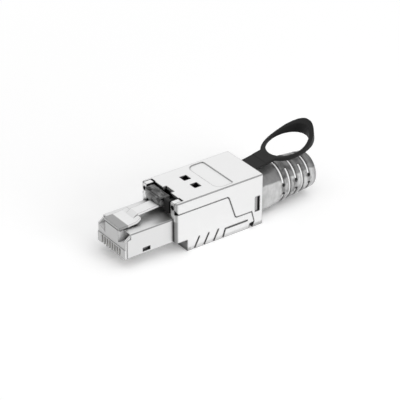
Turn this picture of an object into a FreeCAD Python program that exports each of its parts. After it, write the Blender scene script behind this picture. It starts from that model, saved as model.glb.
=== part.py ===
"""Field termination ethernet plug, shielded, with a hinged die-cast cover, a pull ring and a boot.

Millimetres. X runs along the plug from the nose (low X) to the cable end (high X), Y across it and
Z up. The model is drawn with X = 0 at the front of the nose and Z = 0 under the die-cast body, and is
moved at the end so that the origin is the middle of the bottom of its bounding box.
"""
import FreeCAD
import Part
import os
from math import cos, pi, radians, sin, sqrt, tan

V = FreeCAD.Vector
TOUCH = 0.01                # two levels closer than this are the same
STEEP = 0.9                 # direction cosine of an edge that runs along an axis
ALONG_X = V(1, 0, 0)
ALONG_Y = V(0, 1, 0)
ALONG_Z = V(0, 0, 1)

# Die-cast body
PLUG_REACH = 13.3           # nose front to body front
BODY_LENGTH = 25.2
BODY_SIDE = 1.25            # body side beyond the plug's side
HEAD_ROOM = 4.4             # plug top to body top
BODY_WALL = 1.2
ROOF_THICKNESS = 0.8
FLOOR_THICKNESS = 1.5
REAR_WALL = 1.5
FRONT_CORNER_RADIUS = 0.9
REAR_CORNER_RADIUS = 0.5
TOP_EDGE_CHAMFER = 0.22
STEP_LENGTH = 3.2           # cut under the front of the body
STEP_HEIGHT = 3.0
FRONT_WALL = 4.1            # part of the housing that grips the plug

# Seam between the lower housing and the cover, seen from the side
SEAM_BELOW_TOP = 2.95
SEAM_LOWER_Z = 4.2
SEAM_SLOPE_TOP = 10.3       # head of the slope, ahead of the body's rear
SEAM_SLOPE_RUN = 2.1
SEAM_TAIL = 3.45            # last downward stretch, ahead of the body's rear
SEAM_TAIL_RUN = 0.75
SEAM_TOOTH_Z = 1.45         # tip of the tooth at the foot of that stretch
SEAM_TOOTH_THICKNESS = 0.25
NOTCH_FRONT = 0.55          # open notch under the tooth, ahead of the tail
NOTCH_REAR = 0.3            # and behind it, at the bottom edge
SEAM_RADIUS = 0.8
SEAM_GAP = 0.15

# Grooves on the lower sides
GROOVE_WIDTH = 0.38
GROOVE_DEPTH = 0.35
GROOVE_HEIGHT = 2.8
GROOVE_LEAN = 1.45          # how far a groove leans back over its height
GROOVE_START = 5.1          # first groove, from body front
GROOVE_PITCH = 2.75
GROOVE_COUNT = 3
HOCKEY_HEIGHT = 2.3
HOCKEY_LEAN = 0.75
HOCKEY_SETBACK = 4.7        # end of the last groove, ahead of the body's rear

# Openings and pocket in the cover
TOP_HOLE_LENGTH = 1.85
TOP_HOLE_WIDTH = 2.05
TOP_HOLE_SPACING = 4.2
TOP_HOLE_SETBACK = 8.15     # from body front to the near edge
POCKET_LENGTH = 4.75
POCKET_MARGIN = 0.95
POCKET_SETBACK = 12.3
POCKET_DEPTH = 0.2
POCKET_FRONT_RADIUS = 2.0
POCKET_REAR_RADIUS = 0.6
WINDOW_LENGTH = 1.35
WINDOW_HEIGHT = 4.0
WINDOW_BOTTOM = 3.9
WINDOW_FROM_REAR = 1.05
MOUTH_SIDE = 2.3            # body side to the mouth
MOUTH_DEPTH = 2.35
CENTRE_SLOT_HALF_WIDTH = 1.6
CENTRE_SLOT_DEPTH = 3.35

# Cover hinge
HINGE_SETBACK = 1.3         # pivot behind the body front
HINGE_BELOW_TOP = 0.9
PIN_RADIUS = 0.5
PIN_RUNNING_GAP = 0.04
EAR_LENGTH = 2.1
EAR_WIDTH = 1.4
EAR_SIDE_GAP = 0.05
EAR_INNER_GAP = 0.1
EAR_REAR_GAP = 0.45
EAR_TOP_GAP = 0.05
EAR_HOLE_RADIUS = 0.6
EAR_HOLE_DEPTH = 0.55
EAR_TOP_RADIUS = 0.3
PIN_SKIN = 0.25             # metal left between the pin and the outside
LUG_NOSE_LENGTH = 0.7       # cut-back of the cover's lower front corner
LUG_NOSE_HEIGHT = 1.1

# Plug shield
PLUG_WIDTH = 11.7
PLUG_HEIGHT = 6.3
PLUG_BOTTOM = 2.7
SHIELD_THICKNESS = 0.3
SHIELD_BEND_RADIUS = 0.45
SHIELD_SETBACK = 0.7        # front edge behind the nose, low on the sides
SHIELD_TOP_SETBACK = 1.8
SHIELD_SHOULDER = 4.75      # height of the low front edge above the plug bottom
SHIELD_SHOULDER_RISE = 0.2
SHIELD_SHOULDER_LEAN = 0.15
SHIELD_CUTOUT_LENGTH = 5.2
SHIELD_CUTOUT_HALF_WIDTH = 3.4
SHIELD_BOTTOM_START = 7.0
SHIELD_WINDOW_START = 4.8
SHIELD_WINDOW_LENGTH = 2.15
SHIELD_WINDOW_BOTTOM = 0.65
SHIELD_WINDOW_HEIGHT = 1.05
SEAT_GAP = 0.02

# Nose insulator
NOSE_LENGTH = 11.5
NOSE_LIP = 0.2              # face above the comb lies this far back
COMB_HEIGHT = 2.45
INSULATOR_HEIGHT = 3.4
SHOULDER_RISE = 1.3
BLOCK_HALF_WIDTH = 2.7
BLOCK_RISE = 0.05           # latch block above the plug top, at the pivot
BLOCK_DROP = 0.35           # and how much lower it is behind the pivot
BLOCK_FRONT_LENGTH = 1.5
SIDE_LIP_THICKNESS = 0.5
SIDE_LIP_LOW = 4.7
SIDE_LIP_HIGH = 5.8

# Contacts
CONTACT_COUNT = 8
CONTACT_PITCH = 1.02
CONTACT_THICKNESS = 0.36
CONTACT_SLOT = 0.62
CONTACT_SLOT_HEIGHT = 2.2
CONTACT_STOCK = 0.28
CONTACT_SETBACK = 0.35
CONTACT_FLAT = 2.9
CONTACT_BOTTOM = 0.3
CONTACT_TOP_GAP = 0.05
CONTACT_TAIL = 1.4          # on the board
CONTACT_RISE_END = 1.5      # end of the sloping stretch, ahead of the board
CONTACT_BEND = 0.12

# Latch lever
LATCH_THICKNESS = 0.6
LATCH_GAP = 0.2
LATCH_HALF_WIDTH = 3.2
LATCH_ARM_HALF_WIDTH = 1.5
LATCH_FLAT_END = 2.9
LATCH_KNEE = 5.2
LATCH_KNEE_RISE = 0.22
LATCH_RAMP_END = 6.45
LATCH_RISE = 1.0            # arm at the end of the ramp
LATCH_WING_RISE = 0.7       # the sides of the ramp stay lower than the arm
ARM_BELOW_TOP = 2.2         # end of the arm under the body top
LATCH_TAPER = 0.4           # narrowing of the wide part along the ramp
LATCH_PIVOT_X = 0.95
LATCH_BARREL_RADIUS = 0.4
LATCH_BARREL_GAP = 0.05

# Release paddle on the end of the latch
PADDLE_REACH = 1.3          # ahead of the body front
PADDLE_LENGTH = 3.2
PADDLE_SIDE_GAP = 0.15      # to the left side of the mouth
PADDLE_RIGHT_ROOM = 2.65    # left free for the hook, on the right
PADDLE_CENTRE = 0.6
PADDLE_ARC_RADIUS = 11.0
PADDLE_SKIRT = 0.35         # below the top of the arm
PADDLE_BELOW_ROOF = 0.35
PADDLE_SCOOP_RADIUS = 2.4
PADDLE_SCOOP_DEPTH = 0.45
PADDLE_SCOOP_RIM = 0.8
PADDLE_SCOOP_SHIFT = 0.2
PADDLE_EMBED = 2.2

# Pull strap and finger ring
STRAP_HEAD_SIDE = 1.9       # side wall of the body to the wide head of the strap
STRAP_HEAD_LENGTH = 6.0
STRAP_WIDTH = 5.7
STRAP_THICKNESS = 0.6
STRAP_BELOW_TOP = 0.9
STRAP_FRONT = 3.7           # strap head behind the body front
STRAP_SHOULDER = 7.0        # strap runs this far out of the body before the ring
STRAP_BEND = 0.8            # start of the rise, behind the body
PROFILE_STATIONS = 9        # points on the curved outline of the strap and ring
RING_SLOPE = 0.15
RING_CURL = 0.0038
RING_START = 5.6
RING_LENGTH = 13.7
RING_WIDTH = 11.4
RING_SIDE_WALL = 0.7
RING_NEAR_WALL = 1.5
RING_FAR_WALL = 1.55
RING_BLUNTNESS = 0.5        # how far the upright and leaning ovals run past each other
RING_LEAN = 0.135           # of the far wall's outside, for each millimetre of height
LEAN_SHARE = 0.15           # of the ring's length that the leaning oval adds at the strap
RING_LIP_HEIGHT = 3.7
LIP_POWER = 4               # how late the lip swells along the ring
HOOK_WIDTH = 2.1
HOOK_LENGTH = 1.1
HOOK_GAP = 0.25
HOOK_STOP_GAP = 0.05
HOOK_BELOW_TOP = 0.15
HOOK_ABOVE_PLUG = 0.9
PULL_TRAVEL = 1.5
STRAP_RUNNING_GAP = 0.1

# Boot and cable gland
NECK_WALL = 0.5             # of the boot's neck, round the cable bore
BOOT_LENGTH = 18.3
BOOT_ROOT_LENGTH = 3.5
BOOT_ROOT_FLANGE = 0.8      # root half width beyond the neck radius
BOOT_ROOT_DROP = 0.4        # root bottom below the inside of the floor
BOOT_ROOT_TOP_GAP = 1.6     # under the strap
BOOT_ROOT_RADIUS = 2.0
BOOT_BLEND_LENGTH = 4.0
BLEND_SIDE_ANGLE = 30.0     # degrees of the tube that each flat of the root runs into
BOOT_FLANGE = 1.4           # tube radius beyond the neck radius
BOOT_END_WALL = 0.95
BOOT_END_CHAMFER = 0.4
SLOT_WIDTH = 0.75
SLOT_FIRST = 7.5            # first slot behind the body
SLOT_PITCH = 2.05
SLOT_COUNT = 5
SLOT_BRIDGE = 16.0          # degrees of wall left at the sides, between an upper and a lower slot
SIDE_SLOT_REACH = 57.0      # degrees that a side slot runs up and down
SLOT_SKIN = 0.4             # thin wall left between the bore and the bottom of a slot
GLAND_LENGTH = 3.2
GLAND_SIDE_GAP = 0.05
GLAND_TOP_GAP = 1.45        # under the strap
GLAND_RIM = 0.375           # above and below the neck
GLAND_TAB_RECESS = 0.35     # tab face inside the body side
GLAND_TAB_GAP = 0.05
SPRING_THICKNESS = 0.3
SPRING_LENGTH = 2.4
SPRING_SPLIT = 40.0         # degrees left open at the top
SPRING_SLITS = 5
SPRING_SLIT_WIDTH = 0.5
SPRING_SLIT_DEPTH = 1.3
SPRING_SLIT_PITCH = 45.0    # degrees

# Circuit board, terminal block and wire manager
BOARD_THICKNESS = 0.8
BOARD_RISE = 1.1            # board bottom above the plug bottom
BOARD_FRONT = 8.0
BOARD_SETBACK = 7.5         # board rear ahead of the body's rear
BOARD_MARGIN = 0.75         # board side inside the nose's side
RAIL_LENGTH = 0.8           # how far each rail reaches under the board
BLOCK_SETBACK = 2.0         # terminal block behind the grip
BLOCK_REAR_ROOM = 8.3       # and ahead of the body's rear
BLOCK_SIDE_GAP = 0.6
TERMINAL_SHARE = 0.335      # of the height from the board to the strap
BLADE_SHARE = 0.55
BLADE_END_ROOM = 0.3        # terminal block side to the outer blade
BLADE_WIDTH = 0.9
BLADE_THICKNESS = 0.3
BLADE_FORK = 0.3
BLADE_FORK_DEPTH = 1.4
FIRST_ROW_SHARE = 0.27      # of the terminal block's length
SECOND_ROW_SHARE = 0.64
MANAGER_GAP = 0.3
MANAGER_TOP_GAP = 0.3
MANAGER_LEG = 0.8
BLADE_POCKET_FRONT = 1.3
BLADE_POCKET_REAR = 0.35
BLADE_POCKET_SIDE = 0.1
WIRE_CHANNEL_RADIUS = 0.5

PAST = 1.0                  # how far a cutter runs past the faces that it cuts

# Derived stations and levels
BODY_WIDTH = PLUG_WIDTH + 2 * BODY_SIDE
BODY_HEIGHT = PLUG_BOTTOM + PLUG_HEIGHT + HEAD_ROOM
BODY_FRONT = PLUG_REACH
BODY_REAR = BODY_FRONT + BODY_LENGTH
SEAM_UPPER_Z = BODY_HEIGHT - SEAM_BELOW_TOP
HALF_WIDTH = BODY_WIDTH / 2
MOUTH_HALF_WIDTH = HALF_WIDTH - MOUTH_SIDE
INNER_HALF_WIDTH = HALF_WIDTH - BODY_WALL
ROOF_UNDERSIDE = BODY_HEIGHT - ROOF_THICKNESS
GRIP_END = BODY_FRONT + FRONT_WALL
PLUG_TOP = PLUG_BOTTOM + PLUG_HEIGHT
PLUG_HALF_WIDTH = PLUG_WIDTH / 2
NOSE_HALF_WIDTH = PLUG_HALF_WIDTH - SHIELD_THICKNESS
HINGE_X = BODY_FRONT + HINGE_SETBACK
HINGE_Z = BODY_HEIGHT - HINGE_BELOW_TOP
EAR_OUTER = MOUTH_HALF_WIDTH + EAR_INNER_GAP + EAR_WIDTH
EAR_INNER = EAR_OUTER - EAR_WIDTH
BLOCK_TOP = PLUG_TOP + BLOCK_RISE
LATCH_BOTTOM = BLOCK_TOP + LATCH_GAP
LATCH_TOP = LATCH_BOTTOM + LATCH_THICKNESS
ARM_START = LATCH_TOP + LATCH_RISE
ARM_TOP = BODY_HEIGHT - ARM_BELOW_TOP
PADDLE_FRONT = BODY_FRONT - PADDLE_REACH
PADDLE_REAR = PADDLE_FRONT + PADDLE_LENGTH
PADDLE_LEFT = MOUTH_HALF_WIDTH - PADDLE_SIDE_GAP
PADDLE_RIGHT = PADDLE_RIGHT_ROOM - MOUTH_HALF_WIDTH
HEAD_HALF_WIDTH = INNER_HALF_WIDTH - STRAP_HEAD_SIDE
STRAP_TOP = BODY_HEIGHT - STRAP_BELOW_TOP
STRAP_BOTTOM = STRAP_TOP - STRAP_THICKNESS
RING_FRONT = BODY_REAR + RING_START
RING_TIP = RING_FRONT + RING_LENGTH
BOOT_END = BODY_REAR + BOOT_LENGTH
OVERALL_LENGTH = max(RING_TIP, BOOT_END)
GLAND_TOP = STRAP_BOTTOM - GLAND_TOP_GAP
BOOT_AXIS_Z = (FLOOR_THICKNESS + GLAND_TOP) / 2
BOOT_NECK_RADIUS = (GLAND_TOP - FLOOR_THICKNESS) / 2 - GLAND_RIM
BOOT_NECK_LENGTH = REAR_WALL + GLAND_LENGTH - SPRING_LENGTH
CABLE_BORE_RADIUS = BOOT_NECK_RADIUS - NECK_WALL
BOOT_RADIUS = BOOT_NECK_RADIUS + BOOT_FLANGE
BOOT_END_RADIUS = CABLE_BORE_RADIUS + BOOT_END_WALL
BOARD_BOTTOM = PLUG_BOTTOM + BOARD_RISE
BOARD_TOP = BOARD_BOTTOM + BOARD_THICKNESS
BOARD_REAR = BODY_REAR - BOARD_SETBACK
BOARD_HALF_WIDTH = NOSE_HALF_WIDTH - BOARD_MARGIN
BLOCK_START = GRIP_END + BLOCK_SETBACK
BLOCK_LENGTH = BODY_REAR - BLOCK_REAR_ROOM - BLOCK_START
BLOCK_WIDTH = 2 * (INNER_HALF_WIDTH - BLOCK_SIDE_GAP)
TERMINAL_TOP = BOARD_TOP + TERMINAL_SHARE * (STRAP_BOTTOM - BOARD_TOP)
BLADE_TOP = BOARD_TOP + BLADE_SHARE * (STRAP_BOTTOM - BOARD_TOP)
BLADE_PITCH = (BLOCK_WIDTH - 2 * BLADE_END_ROOM) / CONTACT_COUNT


def box(x0, x1, y0, y1, z0, z1):
    return Part.makeBox(x1 - x0, y1 - y0, z1 - z0, V(x0, y0, z0))


def side_prism(points, y0, y1):
    """Solid with an outline drawn in the XZ plane, running across from y0 to y1."""
    wire = Part.makePolygon([V(x, y0, z) for x, z in points] + [V(points[0][0], y0, points[0][1])])
    return Part.Face(wire).extrude(V(0, y1 - y0, 0))


def front_prism(points, x0, x1):
    """Solid with an outline drawn in the YZ plane, running from x0 to x1."""
    wire = Part.makePolygon([V(x0, y, z) for y, z in points] + [V(x0, points[0][0], points[0][1])])
    return Part.Face(wire).extrude(V(x1 - x0, 0, 0))


def plan_prism(points, z0, z1):
    """Solid with an outline drawn in the XY plane, running up from z0 to z1."""
    wire = Part.makePolygon([V(x, y, z0) for x, y in points] + [V(points[0][0], points[0][1], z0)])
    return Part.Face(wire).extrude(V(0, 0, z1 - z0))


def cylinder_y(x, z, radius, y0, y1):
    return Part.makeCylinder(radius, y1 - y0, V(x, y0, z), ALONG_Y)


def cylinder_x(x0, x1, y, z, radius):
    return Part.makeCylinder(radius, x1 - x0, V(x0, y, z), ALONG_X)


def fuse(shapes):
    return shapes[0].multiFuse(shapes[1:]).removeSplitter()


def cut(shape, tools):
    return shape.cut(Part.makeCompound(tools)).removeSplitter()


def both_sides(make):
    """The shape that make returns for the left side (+1) and for the right side (-1)."""
    return [make(1), make(-1)]


def span(side, near, far):
    """Sorted Y range for a feature between two distances from the middle, on one side."""
    return sorted((side * near, side * far))


def edges_where(shape, test):
    """Straight edges whose middle passes the test, given as test(middle, direction)."""
    found = []
    for edge in shape.Edges:
        if isinstance(edge.Curve, Part.Line):
            ends = [vertex.Point for vertex in edge.Vertexes]
            direction = (ends[1] - ends[0]).normalize()
            if test((ends[0] + ends[1]) * 0.5, direction):
                found.append(edge)
    return found


def body_block():
    """The outside of the closed die-cast body before it is divided along the seam."""
    block = box(BODY_FRONT, BODY_REAR, -HALF_WIDTH, HALF_WIDTH, 0, BODY_HEIGHT)
    for station, radius in ((BODY_FRONT, FRONT_CORNER_RADIUS), (BODY_REAR, REAR_CORNER_RADIUS)):
        upright = edges_where(block, lambda m, d: abs(d.z) > STEEP and abs(m.x - station) < TOUCH)
        block = block.makeFillet(radius, upright)
    rim = [e for e in block.Edges if e.BoundBox.ZMin > BODY_HEIGHT - TOUCH]
    block = block.makeChamfer(TOP_EDGE_CHAMFER, rim)
    step = box(BODY_FRONT - PAST, BODY_FRONT + STEP_LENGTH, -BODY_WIDTH, BODY_WIDTH, -PAST, STEP_HEIGHT)
    return block.cut(step)


def seam_region(grow, toe, toe_z):
    """Everything below the seam, which grow moves up and back. The notch edge starts at toe, toe_z."""
    top = SEAM_UPPER_Z + grow
    low = SEAM_LOWER_Z + grow
    head = BODY_REAR - SEAM_SLOPE_TOP + grow
    foot = head + SEAM_SLOPE_RUN
    tail = BODY_REAR - SEAM_TAIL + grow
    outline = [
        (BODY_FRONT - PAST, -PAST),
        (toe, -PAST),
        (toe, toe_z),
        (tail + SEAM_TAIL_RUN, SEAM_TOOTH_Z),
        (tail, low),
        (foot, low),
        (head, top),
        (BODY_FRONT - PAST, top),
    ]
    region = side_prism(outline, -BODY_WIDTH, BODY_WIDTH)
    bends = edges_where(region, lambda m, d: abs(d.y) > STEEP and (
        abs(m.x - head) < TOUCH or abs(m.x - foot) < TOUCH))
    return region.makeFillet(SEAM_RADIUS, bends)


def groove(start, lean, height):
    """Cutter for one leaning groove on both sides, from the bottom edge up to a round end."""
    across = V(height, 0, -lean).normalize() * (GROOVE_WIDTH / 2)
    foot = V(start - lean * PAST / height, 0, -PAST)
    head = V(start + lean, 0, height)
    corners = [foot - across, foot + across, head + across, head - across]
    cutters = []
    for side in (1, -1):
        y0, y1 = span(side, HALF_WIDTH - GROOVE_DEPTH, HALF_WIDTH + PAST)
        cutters.append(side_prism([(c.x, c.z) for c in corners], y0, y1))
        cutters.append(cylinder_y(head.x, head.z, GROOVE_WIDTH / 2, y0, y1))
    return cutters


def hockey_groove(start):
    """The last groove leans like the others and then runs back along the side."""
    cutters = groove(start, HOCKEY_LEAN, HOCKEY_HEIGHT)
    bend = start + HOCKEY_LEAN
    end = BODY_REAR - HOCKEY_SETBACK
    half = GROOVE_WIDTH / 2
    for side in (1, -1):
        y0, y1 = span(side, HALF_WIDTH - GROOVE_DEPTH, HALF_WIDTH + PAST)
        cutters.append(box(bend, end, y0, y1, HOCKEY_HEIGHT - half, HOCKEY_HEIGHT + half))
        cutters.append(cylinder_y(end, HOCKEY_HEIGHT, half, y0, y1))
    return cutters


def ear(side):
    """Hinge ear of the housing, standing in the front corner of the cover."""
    y0, y1 = span(side, EAR_INNER, EAR_OUTER)
    block = box(BODY_FRONT, BODY_FRONT + EAR_LENGTH, y0, y1, SEAM_UPPER_Z - PAST, BODY_HEIGHT - EAR_TOP_GAP)
    front_top = edges_where(block, lambda m, d: abs(d.y) > STEEP and m.z > SEAM_UPPER_Z and m.x < HINGE_X)
    block = block.makeFillet(EAR_TOP_RADIUS, front_top)
    pin_hole = cylinder_y(HINGE_X, HINGE_Z, PIN_RADIUS, y0 - PAST, y1 + PAST)
    dimple = cylinder_x(BODY_FRONT - PAST, BODY_FRONT + EAR_HOLE_DEPTH, side * (EAR_INNER + EAR_OUTER) / 2,
                        HINGE_Z - PIN_RADIUS, EAR_HOLE_RADIUS)
    return cut(block, [pin_hole, dimple])


def lower_housing():
    tail = BODY_REAR - SEAM_TAIL
    shell = body_block().common(seam_region(0, tail - NOTCH_FRONT, SEAM_TOOTH_Z - SEAM_TOOTH_THICKNESS))
    passage = box(BODY_FRONT - PAST, GRIP_END, -PLUG_HALF_WIDTH - SEAT_GAP, PLUG_HALF_WIDTH + SEAT_GAP,
                  PLUG_BOTTOM, PLUG_TOP + SEAT_GAP)
    mouth = box(BODY_FRONT - PAST, GRIP_END, -EAR_INNER, EAR_INNER, PLUG_TOP, BODY_HEIGHT)
    chamber = box(GRIP_END, BODY_REAR, -INNER_HALF_WIDTH, INNER_HALF_WIDTH, FLOOR_THICKNESS, BODY_HEIGHT)
    cutters = [passage, mouth, chamber]
    for index in range(GROOVE_COUNT):
        cutters += groove(BODY_FRONT + GROOVE_START + index * GROOVE_PITCH, GROOVE_LEAN, GROOVE_HEIGHT)
    cutters += hockey_groove(BODY_FRONT + GROOVE_START + GROOVE_COUNT * GROOVE_PITCH)
    shell = cut(shell, cutters)
    rails = []
    for side in (1, -1):
        y0, y1 = span(side, BOARD_HALF_WIDTH - RAIL_LENGTH, INNER_HALF_WIDTH)
        rails.append(box(GRIP_END, BOARD_REAR, y0, y1, FLOOR_THICKNESS, BOARD_BOTTOM))
    return fuse([shell] + rails + both_sides(ear))


def pocket_outline():
    """Label pocket: a rounded rectangle whose front corners have the larger radius."""
    x0 = BODY_FRONT + POCKET_SETBACK
    x1 = x0 + POCKET_LENGTH
    half = HALF_WIDTH - POCKET_MARGIN
    plate = box(x0, x1, -half, half, BODY_HEIGHT - POCKET_DEPTH, BODY_HEIGHT + PAST)
    front = edges_where(plate, lambda m, d: abs(d.z) > STEEP and abs(m.x - x0) < TOUCH)
    plate = plate.makeFillet(POCKET_FRONT_RADIUS, front)
    rear = edges_where(plate, lambda m, d: abs(d.z) > STEEP and abs(m.x - x1) < TOUCH)
    return plate.makeFillet(POCKET_REAR_RADIUS, rear)


def ear_clearance(side):
    """Room in the cover for one ear, with the slot behind it that shows from above."""
    y0, y1 = span(side, MOUTH_HALF_WIDTH, EAR_OUTER + EAR_SIDE_GAP)
    return box(BODY_FRONT - PAST, BODY_FRONT + EAR_LENGTH + EAR_REAR_GAP, y0, y1, 0, BODY_HEIGHT + PAST)


def top_cover():
    shell = body_block().cut(seam_region(SEAM_GAP, BODY_REAR - SEAM_TAIL + NOTCH_REAR, 0))
    chamber = box(BODY_FRONT - PAST, BODY_REAR - REAR_WALL, -INNER_HALF_WIDTH, INNER_HALF_WIDTH,
                  FLOOR_THICKNESS, ROOF_UNDERSIDE)
    mouth = box(BODY_FRONT - PAST, BODY_FRONT + MOUTH_DEPTH, -MOUTH_HALF_WIDTH, MOUTH_HALF_WIDTH,
                0, BODY_HEIGHT + PAST)
    centre_slot = box(BODY_FRONT, BODY_FRONT + CENTRE_SLOT_DEPTH, -CENTRE_SLOT_HALF_WIDTH,
                      CENTRE_SLOT_HALF_WIDTH, 0, BODY_HEIGHT + PAST)
    cutters = [chamber, mouth, centre_slot, pocket_outline()]
    cutters += both_sides(ear_clearance)
    hole_x = BODY_FRONT + TOP_HOLE_SETBACK
    for side in (1, -1):
        middle = side * TOP_HOLE_SPACING / 2
        cutters.append(box(hole_x, hole_x + TOP_HOLE_LENGTH, middle - TOP_HOLE_WIDTH / 2,
                           middle + TOP_HOLE_WIDTH / 2, ROOF_UNDERSIDE - PAST, BODY_HEIGHT + PAST))
    window_rear = BODY_REAR - WINDOW_FROM_REAR
    cutters.append(box(window_rear - WINDOW_LENGTH, window_rear, -BODY_WIDTH, BODY_WIDTH,
                       WINDOW_BOTTOM, WINDOW_BOTTOM + WINDOW_HEIGHT))
    cutters.append(cylinder_x(BODY_REAR - REAR_WALL - PAST, BODY_REAR + PAST, 0, BOOT_AXIS_Z,
                              BOOT_NECK_RADIUS))
    strap_half = STRAP_WIDTH / 2 + STRAP_RUNNING_GAP
    cutters.append(box(BODY_REAR - REAR_WALL - PAST, BODY_REAR + PAST, -strap_half, strap_half,
                       STRAP_BOTTOM - STRAP_RUNNING_GAP, ROOF_UNDERSIDE))
    pin_end = HALF_WIDTH - PIN_SKIN
    cutters.append(cylinder_y(HINGE_X, HINGE_Z, PIN_RADIUS + PIN_RUNNING_GAP, -pin_end, pin_end))
    seam_z = SEAM_UPPER_Z + SEAM_GAP
    cutters.append(side_prism([
        (BODY_FRONT - PAST, seam_z - PAST),
        (BODY_FRONT + LUG_NOSE_LENGTH, seam_z - PAST),
        (BODY_FRONT + LUG_NOSE_LENGTH, seam_z),
        (BODY_FRONT, seam_z + LUG_NOSE_HEIGHT),
        (BODY_FRONT - PAST, seam_z + LUG_NOSE_HEIGHT),
    ], -BODY_WIDTH, BODY_WIDTH))
    return cut(shell, cutters)


def hinge_pin(side):
    y0, y1 = span(side, EAR_INNER, HALF_WIDTH - PIN_SKIN - EAR_SIDE_GAP)
    return cylinder_y(HINGE_X, HINGE_Z, PIN_RADIUS, y0, y1)


def plug_shield():
    """Thin sheet folded round the nose: a tube with a shaped front edge, a cut-out and two windows."""
    def tube_section(inset):
        half = PLUG_HALF_WIDTH - inset
        block = box(0, GRIP_END, -half, half, PLUG_BOTTOM + inset, PLUG_TOP - inset)
        bends = edges_where(block, lambda m, d: abs(d.x) > STEEP)
        return block.makeFillet(SHIELD_BEND_RADIUS - inset, bends)

    tube = tube_section(0).cut(tube_section(SHIELD_THICKNESS))
    shoulder = PLUG_BOTTOM + SHIELD_SHOULDER
    front_edge = side_prism([
        (-PAST, 0),
        (SHIELD_SETBACK, 0),
        (SHIELD_SETBACK, shoulder),
        (SHIELD_TOP_SETBACK - SHIELD_SHOULDER_LEAN, shoulder + SHIELD_SHOULDER_RISE),
        (SHIELD_TOP_SETBACK, PLUG_TOP + PAST),
        (-PAST, PLUG_TOP + PAST),
    ], -PLUG_WIDTH, PLUG_WIDTH)
    cutout = box(-PAST, SHIELD_CUTOUT_LENGTH, -SHIELD_CUTOUT_HALF_WIDTH, SHIELD_CUTOUT_HALF_WIDTH,
                 PLUG_TOP - SHIELD_BEND_RADIUS, PLUG_TOP + PAST)
    bottom = box(-PAST, SHIELD_BOTTOM_START, -NOSE_HALF_WIDTH, NOSE_HALF_WIDTH, 0,
                 PLUG_BOTTOM + SHIELD_BEND_RADIUS)
    window_z = PLUG_BOTTOM + SHIELD_WINDOW_BOTTOM
    window = box(SHIELD_WINDOW_START, SHIELD_WINDOW_START + SHIELD_WINDOW_LENGTH, -PLUG_WIDTH, PLUG_WIDTH,
                 window_z, window_z + SHIELD_WINDOW_HEIGHT)
    return cut(tube, [front_edge, cutout, bottom, window])


def contact_places():
    """Y of each contact and of the insulator slot that it stands in."""
    first = -CONTACT_PITCH * (CONTACT_COUNT - 1) / 2
    return [first + index * CONTACT_PITCH for index in range(CONTACT_COUNT)]


def plug_nose():
    """Clear insulator: comb, sloping shoulders, side lips and the block that carries the latch."""
    top = PLUG_BOTTOM + INSULATOR_HEIGHT
    comb_top = PLUG_BOTTOM + COMB_HEIGHT
    inner_floor = PLUG_BOTTOM + SHIELD_THICKNESS
    core = box(NOSE_LIP, NOSE_LENGTH, -NOSE_HALF_WIDTH, NOSE_HALF_WIDTH, inner_floor, top)
    lower_edges = edges_where(core, lambda m, d: abs(d.x) > STEEP and m.z < inner_floor + TOUCH)
    core = core.makeFillet(SHIELD_BEND_RADIUS - SHIELD_THICKNESS, lower_edges)
    solid = [
        core,
        box(0, SHIELD_BOTTOM_START, -NOSE_HALF_WIDTH, NOSE_HALF_WIDTH, PLUG_BOTTOM, comb_top),
        box(NOSE_LIP, SHIELD_CUTOUT_LENGTH, -BLOCK_HALF_WIDTH, BLOCK_HALF_WIDTH, comb_top,
            BLOCK_TOP - BLOCK_DROP),
        box(NOSE_LIP, BLOCK_FRONT_LENGTH, -BLOCK_HALF_WIDTH, BLOCK_HALF_WIDTH, comb_top, BLOCK_TOP),
    ]
    for side in (1, -1):
        solid.append(front_prism([
            (side * BLOCK_HALF_WIDTH, comb_top),
            (side * NOSE_HALF_WIDTH, comb_top),
            (side * NOSE_HALF_WIDTH, top + SHOULDER_RISE),
            (side * BLOCK_HALF_WIDTH, top),
        ], NOSE_LIP, SHIELD_TOP_SETBACK))
        y0, y1 = span(side, NOSE_HALF_WIDTH - SIDE_LIP_THICKNESS, NOSE_HALF_WIDTH)
        solid.append(side_prism([
            (NOSE_LIP, comb_top),
            (SHIELD_TOP_SETBACK, comb_top),
            (SHIELD_TOP_SETBACK, PLUG_BOTTOM + SIDE_LIP_HIGH),
            (NOSE_LIP, PLUG_BOTTOM + SIDE_LIP_LOW),
        ], y0, y1))
    insulator = fuse(solid)
    slots = []
    for y in contact_places():
        slots.append(box(-PAST, BOARD_FRONT, y - CONTACT_SLOT / 2, y + CONTACT_SLOT / 2,
                         PLUG_BOTTOM - PAST, PLUG_BOTTOM + CONTACT_SLOT_HEIGHT))
    board_pocket = box(BOARD_FRONT, NOSE_LENGTH + PAST, -BOARD_HALF_WIDTH, BOARD_HALF_WIDTH,
                       BOARD_BOTTOM, PLUG_BOTTOM + CONTACT_SLOT_HEIGHT)
    trough = cylinder_y(LATCH_PIVOT_X, BLOCK_TOP, LATCH_BARREL_RADIUS + LATCH_BARREL_GAP,
                        -BLOCK_HALF_WIDTH - PAST, BLOCK_HALF_WIDTH + PAST)
    window_z = PLUG_BOTTOM + SHIELD_WINDOW_BOTTOM
    pockets = []
    for side in (1, -1):
        y0, y1 = span(side, NOSE_HALF_WIDTH - SIDE_LIP_THICKNESS, NOSE_HALF_WIDTH + PAST)
        pockets.append(box(SHIELD_WINDOW_START, SHIELD_WINDOW_START + SHIELD_WINDOW_LENGTH, y0, y1,
                           window_z, window_z + SHIELD_WINDOW_HEIGHT))
    return cut(insulator, slots + pockets + [board_pocket, trough])


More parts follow.
